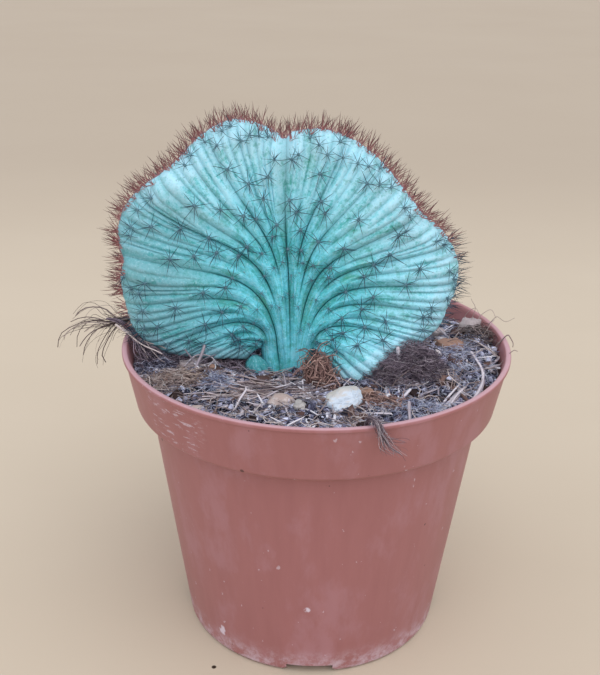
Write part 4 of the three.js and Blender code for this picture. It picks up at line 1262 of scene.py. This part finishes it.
def clear_of(ground, crest):
    """Takes the faces that the crest stands on out of the ground."""
    points = [v.co for v in crest.data.vertices]
    tree = BVHTree.FromPolygons(points, [p.vertices for p in crest.data.polygons])
    inside = set()
    for vertex in ground.data.vertices:
        place, normal, _, away = tree.find_nearest(vertex.co)
        if (vertex.co - place).dot(normal) < 0.0004 or away < 0.0004:
            inside.add(vertex.index)
    made = bmesh.new()
    made.from_mesh(ground.data)
    made.faces.ensure_lookup_table()
    doomed = [f for f in made.faces if any(v.index in inside for v in f.verts)]
    bmesh.ops.delete(made, geom=doomed, context="FACES")
    bmesh.ops.recalc_face_normals(made, faces=made.faces)
    if sum(f.normal.z for f in made.faces) < 0:
        bmesh.ops.reverse_faces(made, faces=made.faces)
    made.to_mesh(ground.data)
    made.free()


def keep_in_pot(piece):
    """Draws in whatever would stick through the pot's wall."""
    count = len(piece.data.vertices)
    flat = np.empty(count * 3, np.float32)
    piece.data.vertices.foreach_get("co", flat)
    points = flat.reshape(-1, 3) / MM
    radius = np.hypot(points[:, 0], points[:, 1])
    limit = inner_radius(np.minimum(points[:, 2], POT_HEIGHT - 1)) - 0.4
    share = np.minimum(1, limit / np.maximum(radius, 1e-6))
    points[:, :2] *= share[:, None]
    piece.data.vertices.foreach_set("co", (points * MM).astype(np.float32).ravel())
    piece.data.update()


# Loose matter strewn over the mix. Each is name, shapes, number per square millimetre, smallest,
# largest, tilt, seed, finish, slot.
STREWN = [
    ("dark_crumbs", CRUMBS, 0.22, 0.5, 1.7, 0.8, 3, "fibre", "peat"),
    ("coir_fibres", FIBRES, 0.17, 3, 8, 0.6, 5, "fibre", "peat"),
    ("fine_fibres", HAIRS, 0.36, 2.6, 6.5, 0.7, 4, "grey_fibre", "coir"),
    ("pale_hairs", HAIRS, 0.05, 6, 15, 0.3, 6, "pale_fibre", "straw"),
    ("loose_straws", STRAWS, 0.046, 5, 17, 0.22, 8, "straw", "straw"),
    ("loose_strips", STRIPS, 0.05, 3, 9, 0.45, 9, "straw", "straw"),
    ("pale_bits", CHIPS, 0.05, 0.4, 1.4, 0.6, 10, "straw", "straw"),
    ("bark_chips", CHIPS, 0.016, 1.2, 3.0, 0.6, 13, "grey_bark", "grey_bark"),
    ("dark_chips", CHIPS, 0.034, 1.2, 3.8, 0.6, 21, "dark_bark", "dark_bark"),
]


def strew(ground, name, shapes, per_square_mm, smallest, largest, tilt, seed, finish, slot):
    piece = linked(name, ground.data.copy())
    values = {
        "Shapes": shapes,
        "Kinds": len(shapes.objects),
        "Density": per_square_mm * 1e6,
        "Smallest": smallest * MM,
        "Largest": largest * MM,
        "Tilt": tilt,
        "Seed": seed,
        "Finish": FINISHES[finish],
    }
    with_tree(piece, STREW, values)
    keep_in_pot(piece)
    set_piece(piece, slot)


# Matted places on the mix. Each is name, shapes, finish, centre, half sizes, height, count, lengths.
MATS = [
    ("dark_root_mat", HAIRS, "dark_root", (29, -15), (13.5, 8), 8.5, 1700, (3, 6.5)),
    ("curled_root_mat", HAIRS, "tuft_root", (29, -15.5), (13, 8), 8.8, 420, (3, 7)),
    ("reddish_mat", FIBRES, "coir", (20, -34.5), (8, 4), 1.8, 150, (5, 11)),
    ("tan_fibre_mat", FIBRES, "tan_fibre", (-44, -22), (8, 5.5), 2.2, 190, (4, 9)),
    ("left_hair_mat", HAIRS, "pale_fibre", (-46, -24), (8, 6), 2.4, 110, (6, 12)),
    ("grey_wad", HAIRS, "grey_fibre", (-30, -26), (5.5, 4.5), 3.2, 230, (3, 6.5)),
    ("left_dark_mat", HAIRS, "fibre", (-53, -8), (7, 9), 3.0, 420, (3, 7)),
    ("edge_root_mat", HAIRS, "dark_root", (-39, -6), (14, 4.5), 4.2, 460, (3, 7)),
    ("corner_root_mat", HAIRS, "dark_root", (-55.5, -6), (5, 4.5), 6.5, 300, (3, 6)),
    ("twig_mat", STRAWS, "straw", (-34, -15), (6, 4), 3.4, 30, (4, 8)),
    ("right_mat", HAIRS, "root", (56, 10), (6, 12), 3.5, 110, (5, 11)),
    ("right_wad", HAIRS, "grey_fibre", (50, -10), (9, 17), 2.4, 330, (3, 6.5)),
    ("front_wad", HAIRS, "grey_fibre", (32, -38), (16, 7), 1.8, 260, (3, 7)),
    ("clump_straws", STRAWS, "straw", (-6, -26), (9, 5), 2.6, 50, (8, 17)),
    ("hollow_roots", FIBRES, "dark_root", (-26, -9), (9, 5), 3.0, 240, (4, 9)),
]


def make_mat(seed, name, shapes, finish, centre, half, height, count, lengths):
    """A low heap of fibres that lie more or less flat."""
    n = np.arange(count)
    turn = 2 * np.pi * chance(n, seed)
    away = np.sqrt(chance(n, seed + 1))
    x = centre[0] + half[0] * away * np.cos(turn)
    y = centre[1] + half[1] * away * np.sin(turn)
    z = mix_height(x, y) + height * (1 - away ** 2) * blend(0.15, 1, chance(n, seed + 2)) + 0.2
    aims = np.stack([0.35 * sway(n, seed + 3), 0.35 * sway(n, seed + 4), np.ones(count)], 1)
    sizes = blend(lengths[0], lengths[1], chance(n, seed + 5))
    piece = planted(name, shapes, np.stack([x, y, z], 1), aims, sizes, finish)
    keep_in_pot(piece)
    set_piece(piece, "straw" if finish in ("straw", "pale_fibre") else "coir")


# Stones and bark, where the solids lie. Each is name, finish, slot, centre, half sizes, turn, angular.
LUMPS = [
    ("white_stone", "white_stone", "pale_stone", (8.9, -36.6), (6.4, 4.2, 3.6), 48, False),
    ("tan_stone", "tan_stone", "tan_stone", (-10.4, -37.5), (3.6, 2.6, 2.3), 10, False),
    ("grey_stone", "grey_stone", "pale_stone", (-4.6, -40.2), (2.4, 1.8, 1.7), 80, False),
    ("orange_bark_chip", "brown_bark", "bark", (15.6, -27.6), (2.6, 1.7, 1.3), 35, True),
    ("amber_bark_chip", "brown_bark", "bark", (45.5, 2), (4.2, 3.1, 1.6), 20, True),
    ("grey_bark_chunk", "grey_bark", "grey_bark", (54, 16.4), (4, 3.2, 3.4), 65, True),
    ("small_bark_chunk", "grey_bark", "grey_bark", (43.2, 18), (2.6, 2.2, 1.8), 15, True),
    ("dark_bark_strip", "dark_bark", "dark_bark", (-18, -18.6), (3.9, 1.5, 1.1), 4, True),
]
# Lumps too small or too soft for a solid of their own
SMALL_LUMPS = [
    ("root_mat_core", "dark_root", "coir", (29, -13.5), (9, 4, 2.6), 0, False),
    ("pale_chip", "grey_bark", "grey_bark", (-41.5, -9.5), (3.6, 2, 2), 20, True),
    ("orange_crumb", "brown_bark", "bark", (-34, -15), (1.3, 1.1, 1.6), 30, True),
    ("pale_crumb", "tan_stone", "tan_stone", (-36, -41), (2.2, 1.3, 1), 15, False),
]


def make_laid_straws():
    """Straws that lie side by side in front of the neck, nearly level with the rim."""
    paths, radii, tones = [], [], []
    shares = np.linspace(-0.5, 0.5, 8)
    for n in range(LAID_STRAWS):
        x = -16 + 17 * sway(n, 121)
        y = -28 + 8 * sway(n, 122)
        turn = math.radians(4 + 62 * sway(n, 123) * chance(n, 124))
        along = (7 + 12 * chance(n, 125)) * shares
        xs = x + along * math.cos(turn)
        ys = y + along * math.sin(turn) + 0.5 * sway(n, 126) * np.cos(3 * shares)
        zs = mix_height(xs, ys) + 0.5 + 1.7 * chance(n, 127) + 1.6 * sway(n, 128) * shares
        paths.append(np.stack([xs, ys, zs], 1))
        radii.append(0.16 + 0.3 * chance(n, 129) ** 2)
        tones.append(chance(n, 130))
    piece = strands("laid_straws", paths, radii, 5, "brown_straw", tones)
    keep_in_pot(piece)
    set_piece(piece, "straw")


def make_lump(seed, name, finish, slot, centre, half, turn, angular, *nodes):
    made = bmesh.new()
    if angular:
        bmesh.ops.create_cube(made, size=2)
        bmesh.ops.subdivide_edges(made, edges=made.edges, cuts=9, use_grid_fill=True)
    else:
        bmesh.ops.create_icosphere(made, subdivisions=5, radius=1.12)
    for vertex in made.verts:
        p = vertex.co.copy()
        if angular:
            p = p.lerp(p.normalized() * 1.25, 0.35)
        low = noise.noise(p * 1.1 + Vector((seed, 0, 0)))
        chipped = noise.noise(p * 2.3 + Vector((0, seed, 0)))
        fine = noise.noise(p * 7 + Vector((0, 0, seed)))
        p *= 1 + 0.24 * low - 0.12 * abs(chipped) + 0.03 * fine
        vertex.co = Vector(a * b * MM for a, b in zip(p, half))
    mesh = bpy.data.meshes.new(name + "_fine")
    made.to_mesh(mesh)
    made.free()
    mesh.transform(Matrix.Rotation(math.radians(turn), 4, "Z"))
    height = mix_height(*centre) + half[2] * 0.45
    mesh.transform(Matrix.Translation(Vector((*centre, height)) * MM))
    mesh.shade_smooth()
    mesh.materials.append(FINISHES[finish])
    piece = linked(name + "_fine", mesh)
    give(piece, "tone", np.full(len(mesh.vertices), 0.55))
    set_piece(piece, slot, *nodes)


# Stalks pressed into the mix. Each is name, tone, radius, and points with their height above the mix.
STALKS = [
    ("long_straw", 0.8, 0.55, [(-24, -26, 0.5), (-16, -24.5, 0.9), (-6.5, -22.5, 0.6)]),
    ("front_straw", 0.65, 0.5, [(-25, -30, 0.4), (-13, -30.5, 0.8), (-1, -33, 0.4)]),
    ("left_twig", 0.36, 0.55, [(-39.5, -18, 0.1), (-38, -15, 4.5), (-36.5, -12.4, 9)]),
    ("left_straw", 0.7, 0.5, [(-31, -15, 0.3), (-28.6, -20, 0.6), (-26.5, -27.5, 0.3)]),
    ("right_straw", 0.75, 1.1, [(39.5, -37, 0.3), (43.3, -30, 0.8), (47, -23, 0.4)]),
    ("bent_stalk", 0.8, 0.6, [(52, -4, 1.6), (54.6, -14, 2), (53.5, -22, 1.8), (48.6, -33, 1.2)]),
    ("rim_straw", 0.8, 0.45, [(4, -56, 0.4), (11, -53.5, 0.9), (18, -55.5, 0.5)]),
    ("white_peg", 0.98, 0.7, [(27.4, -17, -1), (26.9, -16, 4), (26.2, -15.6, 9.4)]),
]
# Stalks too thin for a solid of their own
THIN_STALKS = [
    ("bundle_a", 0.8, 0.4, [(41, -35.5, 0.8), (44.6, -29, 1.8), (48, -22.5, 1)]),
    ("bundle_b", 0.95, 0.35, [(39, -34.5, 0.7), (42.6, -28.5, 2), (46, -22, 1.2)]),
    ("bundle_c", 0.6, 0.35, [(42, -34.5, 0.5), (45.5, -28.5, 1.4), (49.6, -23, 0.7)]),
    ("short_stalk", 0.55, 0.5, [(28.2, -48, 0.2), (28.4, -44, 2.2), (28.6, -41, 4.4)]),
    ("twig_branch_a", 0.4, 0.3, [(-38.6, -16, 2.4), (-41, -13, 5), (-43, -11, 7.4)]),
    ("twig_branch_b", 0.4, 0.3, [(-38.4, -15.6, 3), (-35.5, -14.4, 5), (-33, -13, 6)]),
    ("left_bow", 0.7, 0.35, [(-44, -13, 1), (-40, -9, 4.5), (-35, -9, 4.4), (-32, -12, 2)]),
]


def make_stalk(seed, name, tone, radius, points, *nodes):
    """A dry stalk with long ribs, a flat section and broken ends."""
    laid = [(x, y, mix_height(x, y) + above) for x, y, above in points]
    steps, sides = 30, 16
    shares = np.linspace(0, 1, steps)
    path = through_points(laid)(shares)
    for axis in range(2):
        path[:, axis] += 0.3 * radius * np.sin(shares * (4 + 3 * chance(seed, axis)) + seed + axis)
    radii = radius * (1 + 0.1 * np.sin(shares * 6 + seed))
    radii[[0, -1]] *= 0.75
    body, faces, _ = tube(path, radii, sides, 0.55)
    angle = np.tile(np.arange(sides), steps)
    where = np.repeat(shares, sides)
    ribbing = 1 + 0.2 * sway(angle, seed) + 0.05 * np.sin(where * 23 + 3 * angle)
    centre = np.repeat(path, sides, axis=0)
    body = centre + (body - centre) * ribbing[:, None]
    along = unit(path[-1] - path[0])
    ends = (where < 0.01) * -1.0 + (where > 0.99)
    body += (ends * 0.9 * radius * chance(angle, seed + 4))[:, None] * along
    piece = mesh_object(name + "_fine", body, faces, "straw")
    give(piece, "tone", np.clip(tone - 0.18 + 0.28 * sway(angle, seed + 6), 0, 1))
    set_piece(tidy(piece), "straw", *nodes)


# Root tufts, as in the solids: a core and the strands that leave it
LEFT_TUFT = SimpleNamespace(
    core=[(-49, 14, 92), (-54.5, 11, 101.5), (-59.5, 9, 106.2), (-64, 7.5, 107.6), (-73, 6, 107.5)],
    strands=[
        [(-71, 6, 108), (-78, 5.5, 111.5), (-84, 5, 111), (-86.5, 5, 108)],
        [(-71, 5, 107.5), (-79, 4, 109), (-86, 3, 106.5), (-88, 3, 101)],
        [(-70, 7, 107), (-78, 8, 107.5), (-83, 8, 104), (-83.5, 8, 99.5)],
        [(-70, 5, 107), (-76, 2, 106.5), (-80.5, 1, 102), (-81.5, 1, 94)],
        [(-69, 8, 108), (-74, 10, 112), (-80, 11, 112.5), (-84.5, 12, 109)],
        [(-69.5, 6, 106.5), (-73, 4, 103.5), (-76.5, 4, 99), (-77, 4, 93.5)],
        [(-68, 7.5, 108), (-72, 8, 110.5), (-76, 8, 113), (-79, 9, 112)],
        [(-68, 6, 106.8), (-71, 4, 103.5), (-73.5, 3, 99.5), (-72, 3, 96.5)],
    ],
    name="left_root_tuft", finish="root", count=66, spread=2.6, radius=0.19, reach=1, sag=3.8,
)
FRONT_TUFT = SimpleNamespace(
    core=[
        (14, -56.3, 96), (14.8, -58.5, 101.5), (15.7, -60.2, 105.2),
        (17.1, -62.9, 106), (18.5, -64.6, 103.8), (19.6, -64.4, 101),
    ],
    strands=[
        [(19.3, -64.5, 102.3), (21.5, -64.4, 98.5), (25, -63, 95.5), (26.5, -62, 91.5)],
        [(19.2, -64.7, 101.8), (20.4, -64.8, 98.5), (22.8, -64, 96), (25.2, -62.6, 94.5)],
        [(19.4, -64.4, 101.5), (23, -63.4, 99.8), (26, -62.4, 98.8), (28.3, -61.8, 98.2)],
        [(19, -64.6, 102), (19.2, -65.1, 98.6), (20.6, -64.8, 96.6), (22.8, -63.8, 95.2)],
    ],
    name="front_root_tuft", finish="tuft_root", count=120, spread=1.4, radius=0.13, reach=0.92, sag=0,
)

# Dark roots that come round the fan's left edge and down into the pot
CORNER_TUFT = SimpleNamespace(
    core=[(-72, 4.5, 107.6), (-67, 1.5, 107.8), (-62.5, -3, 106.6), (-59.5, -6, 103.5), (-57, -7, 100)],
    strands=[
        [(-58, -7.5, 101), (-55, -9, 98.5), (-52, -11, 97.5)],
        [(-59, -7, 101), (-57.5, -9.5, 97.5), (-56, -13, 97)],
        [(-57.5, -6, 102), (-52.5, -7, 100), (-48, -8.5, 98)],
    ],
    name="corner_roots", finish="dark_root", count=90, spread=2.2, radius=0.2, reach=1, sag=0,
)


def make_tuft(tuft, *nodes):
    """Roots that follow the core and its strands, a few of them thick, with fine curled hairs."""
    paths, radii, tones = [], [], []
    shares = np.linspace(0, 1, 18)
    for n in range(tuft.count):
        strand = tuft.strands[n % len(tuft.strands)]
        guide = through_points(tuft.core[:-1] + strand)
        leader = n < 1.5 * len(tuft.strands)
        reach = tuft.reach * (0.8 + 0.2 * chance(n, 71) if leader else 0.5 + 0.5 * chance(n, 71))
        start = 0.25 * chance(n, 77) if leader else 0.55 * chance(n, 77)
        path = guide(start + (reach - start) * shares)
        drift = np.array([sway(n, 72), sway(n, 73), 0.5 * sway(n, 74) - 0.16 * tuft.sag])
        turns = 5 + 7 * chance(n, 79)
        curl = np.stack([np.sin(shares * turns + 6 * chance(n, 75 + a)) for a in range(3)], 1)
        loose = 0.5 if leader else 1.1
        path = path + tuft.spread * loose * (0.2 + 0.8 * shares[:, None]) * drift
        path = path + 0.42 * tuft.spread * loose * shares[:, None] ** 1.5 * curl
        path[:, 2] -= tuft.sag * shares ** 2
        paths.append(path)
        radii.append(tuft.radius * (1.2 + 0.9 * chance(n, 76) if leader else 0.35 + 0.4 * chance(n, 76)))
        tones.append(chance(n, 78))
    piece = strands(tuft.name + "_fine", paths, radii, 5, tuft.finish, tones)
    set_piece(piece, "root_fibre", *nodes)


# Single roots that lie over the rim or trail on the mix: tone, thickness, points
LOOSE_ROOTS = [
    (0.95, 0.4, [(-67.5, -2, 108), (-63, -5.5, 106.4), (-58, -8.5, 104), (-51, -10, 101)]),
    (0.9, 0.34, [(-66.2, -3, 107.5), (-62, -4.6, 106), (-58, -5.5, 104), (-50, -6.5, 101.5)]),
    (0.8, 0.2, [(-60, -5, 105), (-58, -8, 102.5), (-55.5, -10, 99.5)]),
    (0.85, 0.16, [(-63, -4.4, 106.2), (-60.5, -4.4, 101.5), (-59, -7, 98.5)]),
    (0.8, 0.15, [(-57, -5.8, 103.8), (-54, -9, 101), (-50, -12, 99)]),
    (0.3, 0.14, [(58, 14, 101), (62.5, 12, 108), (65.5, 10.5, 107), (68, 10, 108.4)]),
    (0.2, 0.3, [(61.5, 3, 101), (65, 1.6, 105.6), (66.4, 1.2, 103.5), (66.6, 1.2, 101.2)]),
    (0.2, 0.22, [(61, -10, 100), (64.6, -9, 104.4), (66.5, -8.5, 104)]),
    (0.5, 0.16, [(56, 16, 101), (58, 18, 106), (61, 17.5, 108.4), (63.4, 16, 106)]),
    (0.3, 0.15, [(54, 17, 102), (56, 20, 108), (55, 22, 111)]),
    (0.4, 0.13, [(52, 19, 102), (53, 18, 107), (56, 17, 109), (58, 15, 106)]),
    (0.6, 0.13, [(57, 8, 101), (60, 9, 106.5), (62, 12, 107), (60, 15, 104)]),
]


def make_loose_roots():
    shares = np.linspace(0, 1, 22)
    paths = []
    for n, (_, _, points) in enumerate(LOOSE_ROOTS):
        path = through_points(points)(shares)
        waves = np.stack([np.sin(shares * (9 + a) + n + 2 * a) for a in range(3)], 1)
        path += 0.25 * waves * shares[:, None]
        paths.append(path)
    radii = [thickness for _, thickness, _ in LOOSE_ROOTS]
    piece = strands("loose_roots", paths, radii, 6, "pale_fibre", [tone for tone, _, _ in LOOSE_ROOTS])
    set_piece(piece, "root_fibre")


# Loose ends of the coir clump, as in the solids
CLUMP_ENDS = [
    [(0, -20, 104.5), (-3.5, -19.5, 108), (-6, -19.5, 107.5)],
    [(0, -20, 104.5), (1.5, -20, 109.5), (4, -20, 111)],
    [(1, -21, 103.5), (5.5, -21.5, 107), (8.5, -22.5, 106)],
    [(-1, -22.5, 102), (-5, -25, 103.5), (-7.5, -26.5, 101.5)],
    [(2, -23, 101), (5.5, -28, 102.5), (7, -29.5, 100.6)],
    [(0, -21.5, 104), (0, -26, 105.5), (-0.5, -28.5, 102.5)],
]


def make_coir_clump():
    """Matted coir round a leaning core, with loose ends that stand out of it."""
    axis = through_points([(3, -25, 93.5), (2, -23, 98.5), (0, -20.5, 103), (-0.5, -19.5, 106)])
    paths, radii, tones = [], [], []
    shares = np.linspace(-0.5, 0.5, 12)
    for n in range(CLUMP_FIBRES):
        centre = axis(0.05 + 0.78 * chance(n, 90))
        turn = 2 * np.pi * chance(n, 91)
        rise = 2 * chance(n, 92) - 1
        level = math.sqrt(1 - rise * rise)
        out = np.array([level * math.cos(turn), level * math.sin(turn), 0.8 * rise])
        along = unit(np.cross(out, [sway(n, 93), sway(n, 94), sway(n, 95)]))
        bend = 0.9 + 1.3 * chance(n, 96)
        loose = chance(n, 97) ** 5
        arc = unit(out + along * (bend * shares)[:, None])
        away = 3.2 + 1.7 * chance(n, 98) + 5 * loose * (shares + 0.5) ** 2
        wave = 0.3 * np.sin(shares * (9 + 6 * chance(n, 89)) + n)
        paths.append(centre + arc * (away + wave)[:, None])
        radii.append(0.1 + 0.16 * chance(n, 99) ** 2)
        tones.append(chance(n, 100))
    for n, points in enumerate(CLUMP_ENDS):
        for twin in range(3):
            drift = np.array([sway(n, 101 + twin), sway(n, 104 + twin), sway(n, 107 + twin)])
            paths.append(through_points([(1, -22, 101)] + points)(np.linspace(0, 1, 12)) + 0.5 * drift)
            radii.append(0.2)
            tones.append(0.6 + 0.3 * sway(n, twin))
    piece = strands("coir_clump_fine", paths, radii, 4, "coir", tones)
    thick = 3.9 * np.sqrt(1 - np.linspace(-0.6, 0.97, 12) ** 2)
    core, faces, _ = tube(axis(np.linspace(0, 0.84, 12)), thick, 20)
    # Vector noise differs from run to run unless its seed is set.
    noise.seed_set(CLUMP_SEED)
    core += 0.5 * np.array([noise.noise_vector(Vector(c) * 0.4) for c in core])
    middle = tidy(mesh_object("coir_clump_core", core, faces, "coir"))
    # The core takes coir's darkest tone, as painted shade deep inside the clump.
    give(middle, "tone", np.full(len(middle.data.vertices), 0.05))
    set_piece(piece, "coir", "coir_clump")
    set_piece(middle, "coir")


def make_basal_knob():
    """A small green bump of the same plant that shows at the left of the neck."""
    points, faces, _ = lump_shape(2, (1, 1, 1), 0.02, 4)
    turn = np.arctan2(points[:, 1], points[:, 0]) + 0.5 * points[:, 2]
    level = 1 - points[:, 2] ** 2
    crease = np.abs(np.cos(3.5 * turn)) ** 6 * level
    swell = 1 - 0.16 * crease + 0.08 * np.sin(3 * points[:, 0] + 2)
    points = points * swell[:, None] * np.array([4.8, 3.2, 5.8])
    points[:, 0] -= 0.12 * points[:, 2]
    knob = mesh_object("basal_knob", points + np.array([-19.2, -9, 94.6]), faces, "waxy_skin")
    # Painted shade: the knob is darkened all over, and more in its creases.
    give(knob, "worn", np.full(len(points), 1.5))
    give(knob, "groove", 0.8 * crease)
    give(knob, "valley", 0.9 * crease)
    give(knob, "grain", np.stack([3 * turn, 2 * points[:, 2], 3 + 0 * turn], 1), "FLOAT_VECTOR")
    set_piece(knob, "waxy_skin")


# Making

MAT_SEED = 300
LUMP_SEED = 1
SMALL_LUMP_SEED = 21
STALK_SEED = 3
THIN_STALK_SEED = 103

crest_spots = areoles()
crest = make_crest(crest_spots)
make_areole_spines(crest_spots + young_areoles())
make_growing_edge()
make_pot()
ground = make_mix()
clear_of(ground, crest)
for kind in STREWN:
    strew(ground, *kind)
bpy.data.objects.remove(ground)
for n, mat in enumerate(MATS):
    make_mat(MAT_SEED + 10 * n, *mat)
make_laid_straws()
make_basal_knob()
for n, lump in enumerate(LUMPS):
    make_lump(LUMP_SEED + n, *lump, lump[0])
for n, lump in enumerate(SMALL_LUMPS):
    make_lump(SMALL_LUMP_SEED + n, *lump)
for n, stalk in enumerate(STALKS):
    make_stalk(STALK_SEED + 10 * n, *stalk, stalk[0])
for n, stalk in enumerate(THIN_STALKS):
    make_stalk(THIN_STALK_SEED + 10 * n, *stalk)
make_tuft(LEFT_TUFT, LEFT_TUFT.name)
make_tuft(FRONT_TUFT, FRONT_TUFT.name)
make_tuft(CORNER_TUFT)
make_loose_roots()
make_coir_clump()


# The room

FLOOR_HALF = 6000


def make_floor():
    corners = [(FLOOR_HALF * x, FLOOR_HALF * y, 0) for x, y in ((-1, -1), (1, -1), (1, 1), (-1, 1))]
    mesh_object("floor", corners, [(0, 1, 2, 3)], "paper_floor")


def soft_sun(name, source, strength, softness):
    """Broad daylight from the direction of its source, even over the whole floor."""
    lamp = bpy.data.lights.new(name, "SUN")
    lamp.angle = math.radians(softness)
    lamp.energy = strength
    linked(name, lamp).rotation_euler = Vector(source).to_track_quat("Z", "Y").to_euler()


def make_lights():
    soft_sun("key", (0.45, -0.7, 1.35), 1.2, 60)
    soft_sun("fill", (-0.8, -1.0, 0.8), 0.45, 90)
    world = bpy.data.worlds.new("room")
    world.use_nodes = True
    sky = world.node_tree.nodes["Background"].inputs
    sky["Color"].default_value = paint(236, 240, 250)
    sky["Strength"].default_value = 0.98
    bpy.context.scene.world = world


# The camera's place in metres and its yaw, pitch and roll in radians, fitted to the photograph
CAMERA_PLACE = (0, -0.31184, 0.23613)
CAMERA_TURNS = (-0.0176, 0.4013, 0.0139)
FOCAL_PIXELS = 1000
PICTURE_HEIGHT = 675


def make_camera():
    """The photograph's own view of the pot."""
    yaw, pitch, roll = CAMERA_TURNS
    flat = math.cos(pitch)
    ahead = Vector((math.sin(yaw) * flat, math.cos(yaw) * flat, -math.sin(pitch)))
    level = Vector((math.cos(yaw), -math.sin(yaw), 0))
    above = level.cross(ahead)
    right = level * math.cos(roll) + above * math.sin(roll)
    up = above * math.cos(roll) - level * math.sin(roll)
    lens = bpy.data.cameras.new("camera")
    lens.sensor_width = 36
    lens.lens = lens.sensor_width * FOCAL_PIXELS / PICTURE_HEIGHT
    lens.clip_start = 0.01
    camera = linked("camera", lens)
    camera.matrix_world = Matrix((right, up, -ahead)).transposed().to_4x4()
    camera.location = CAMERA_PLACE
    bpy.context.scene.camera = camera


make_floor()
make_lights()
make_camera()
bpy.context.scene.view_settings.view_transform = "Standard"
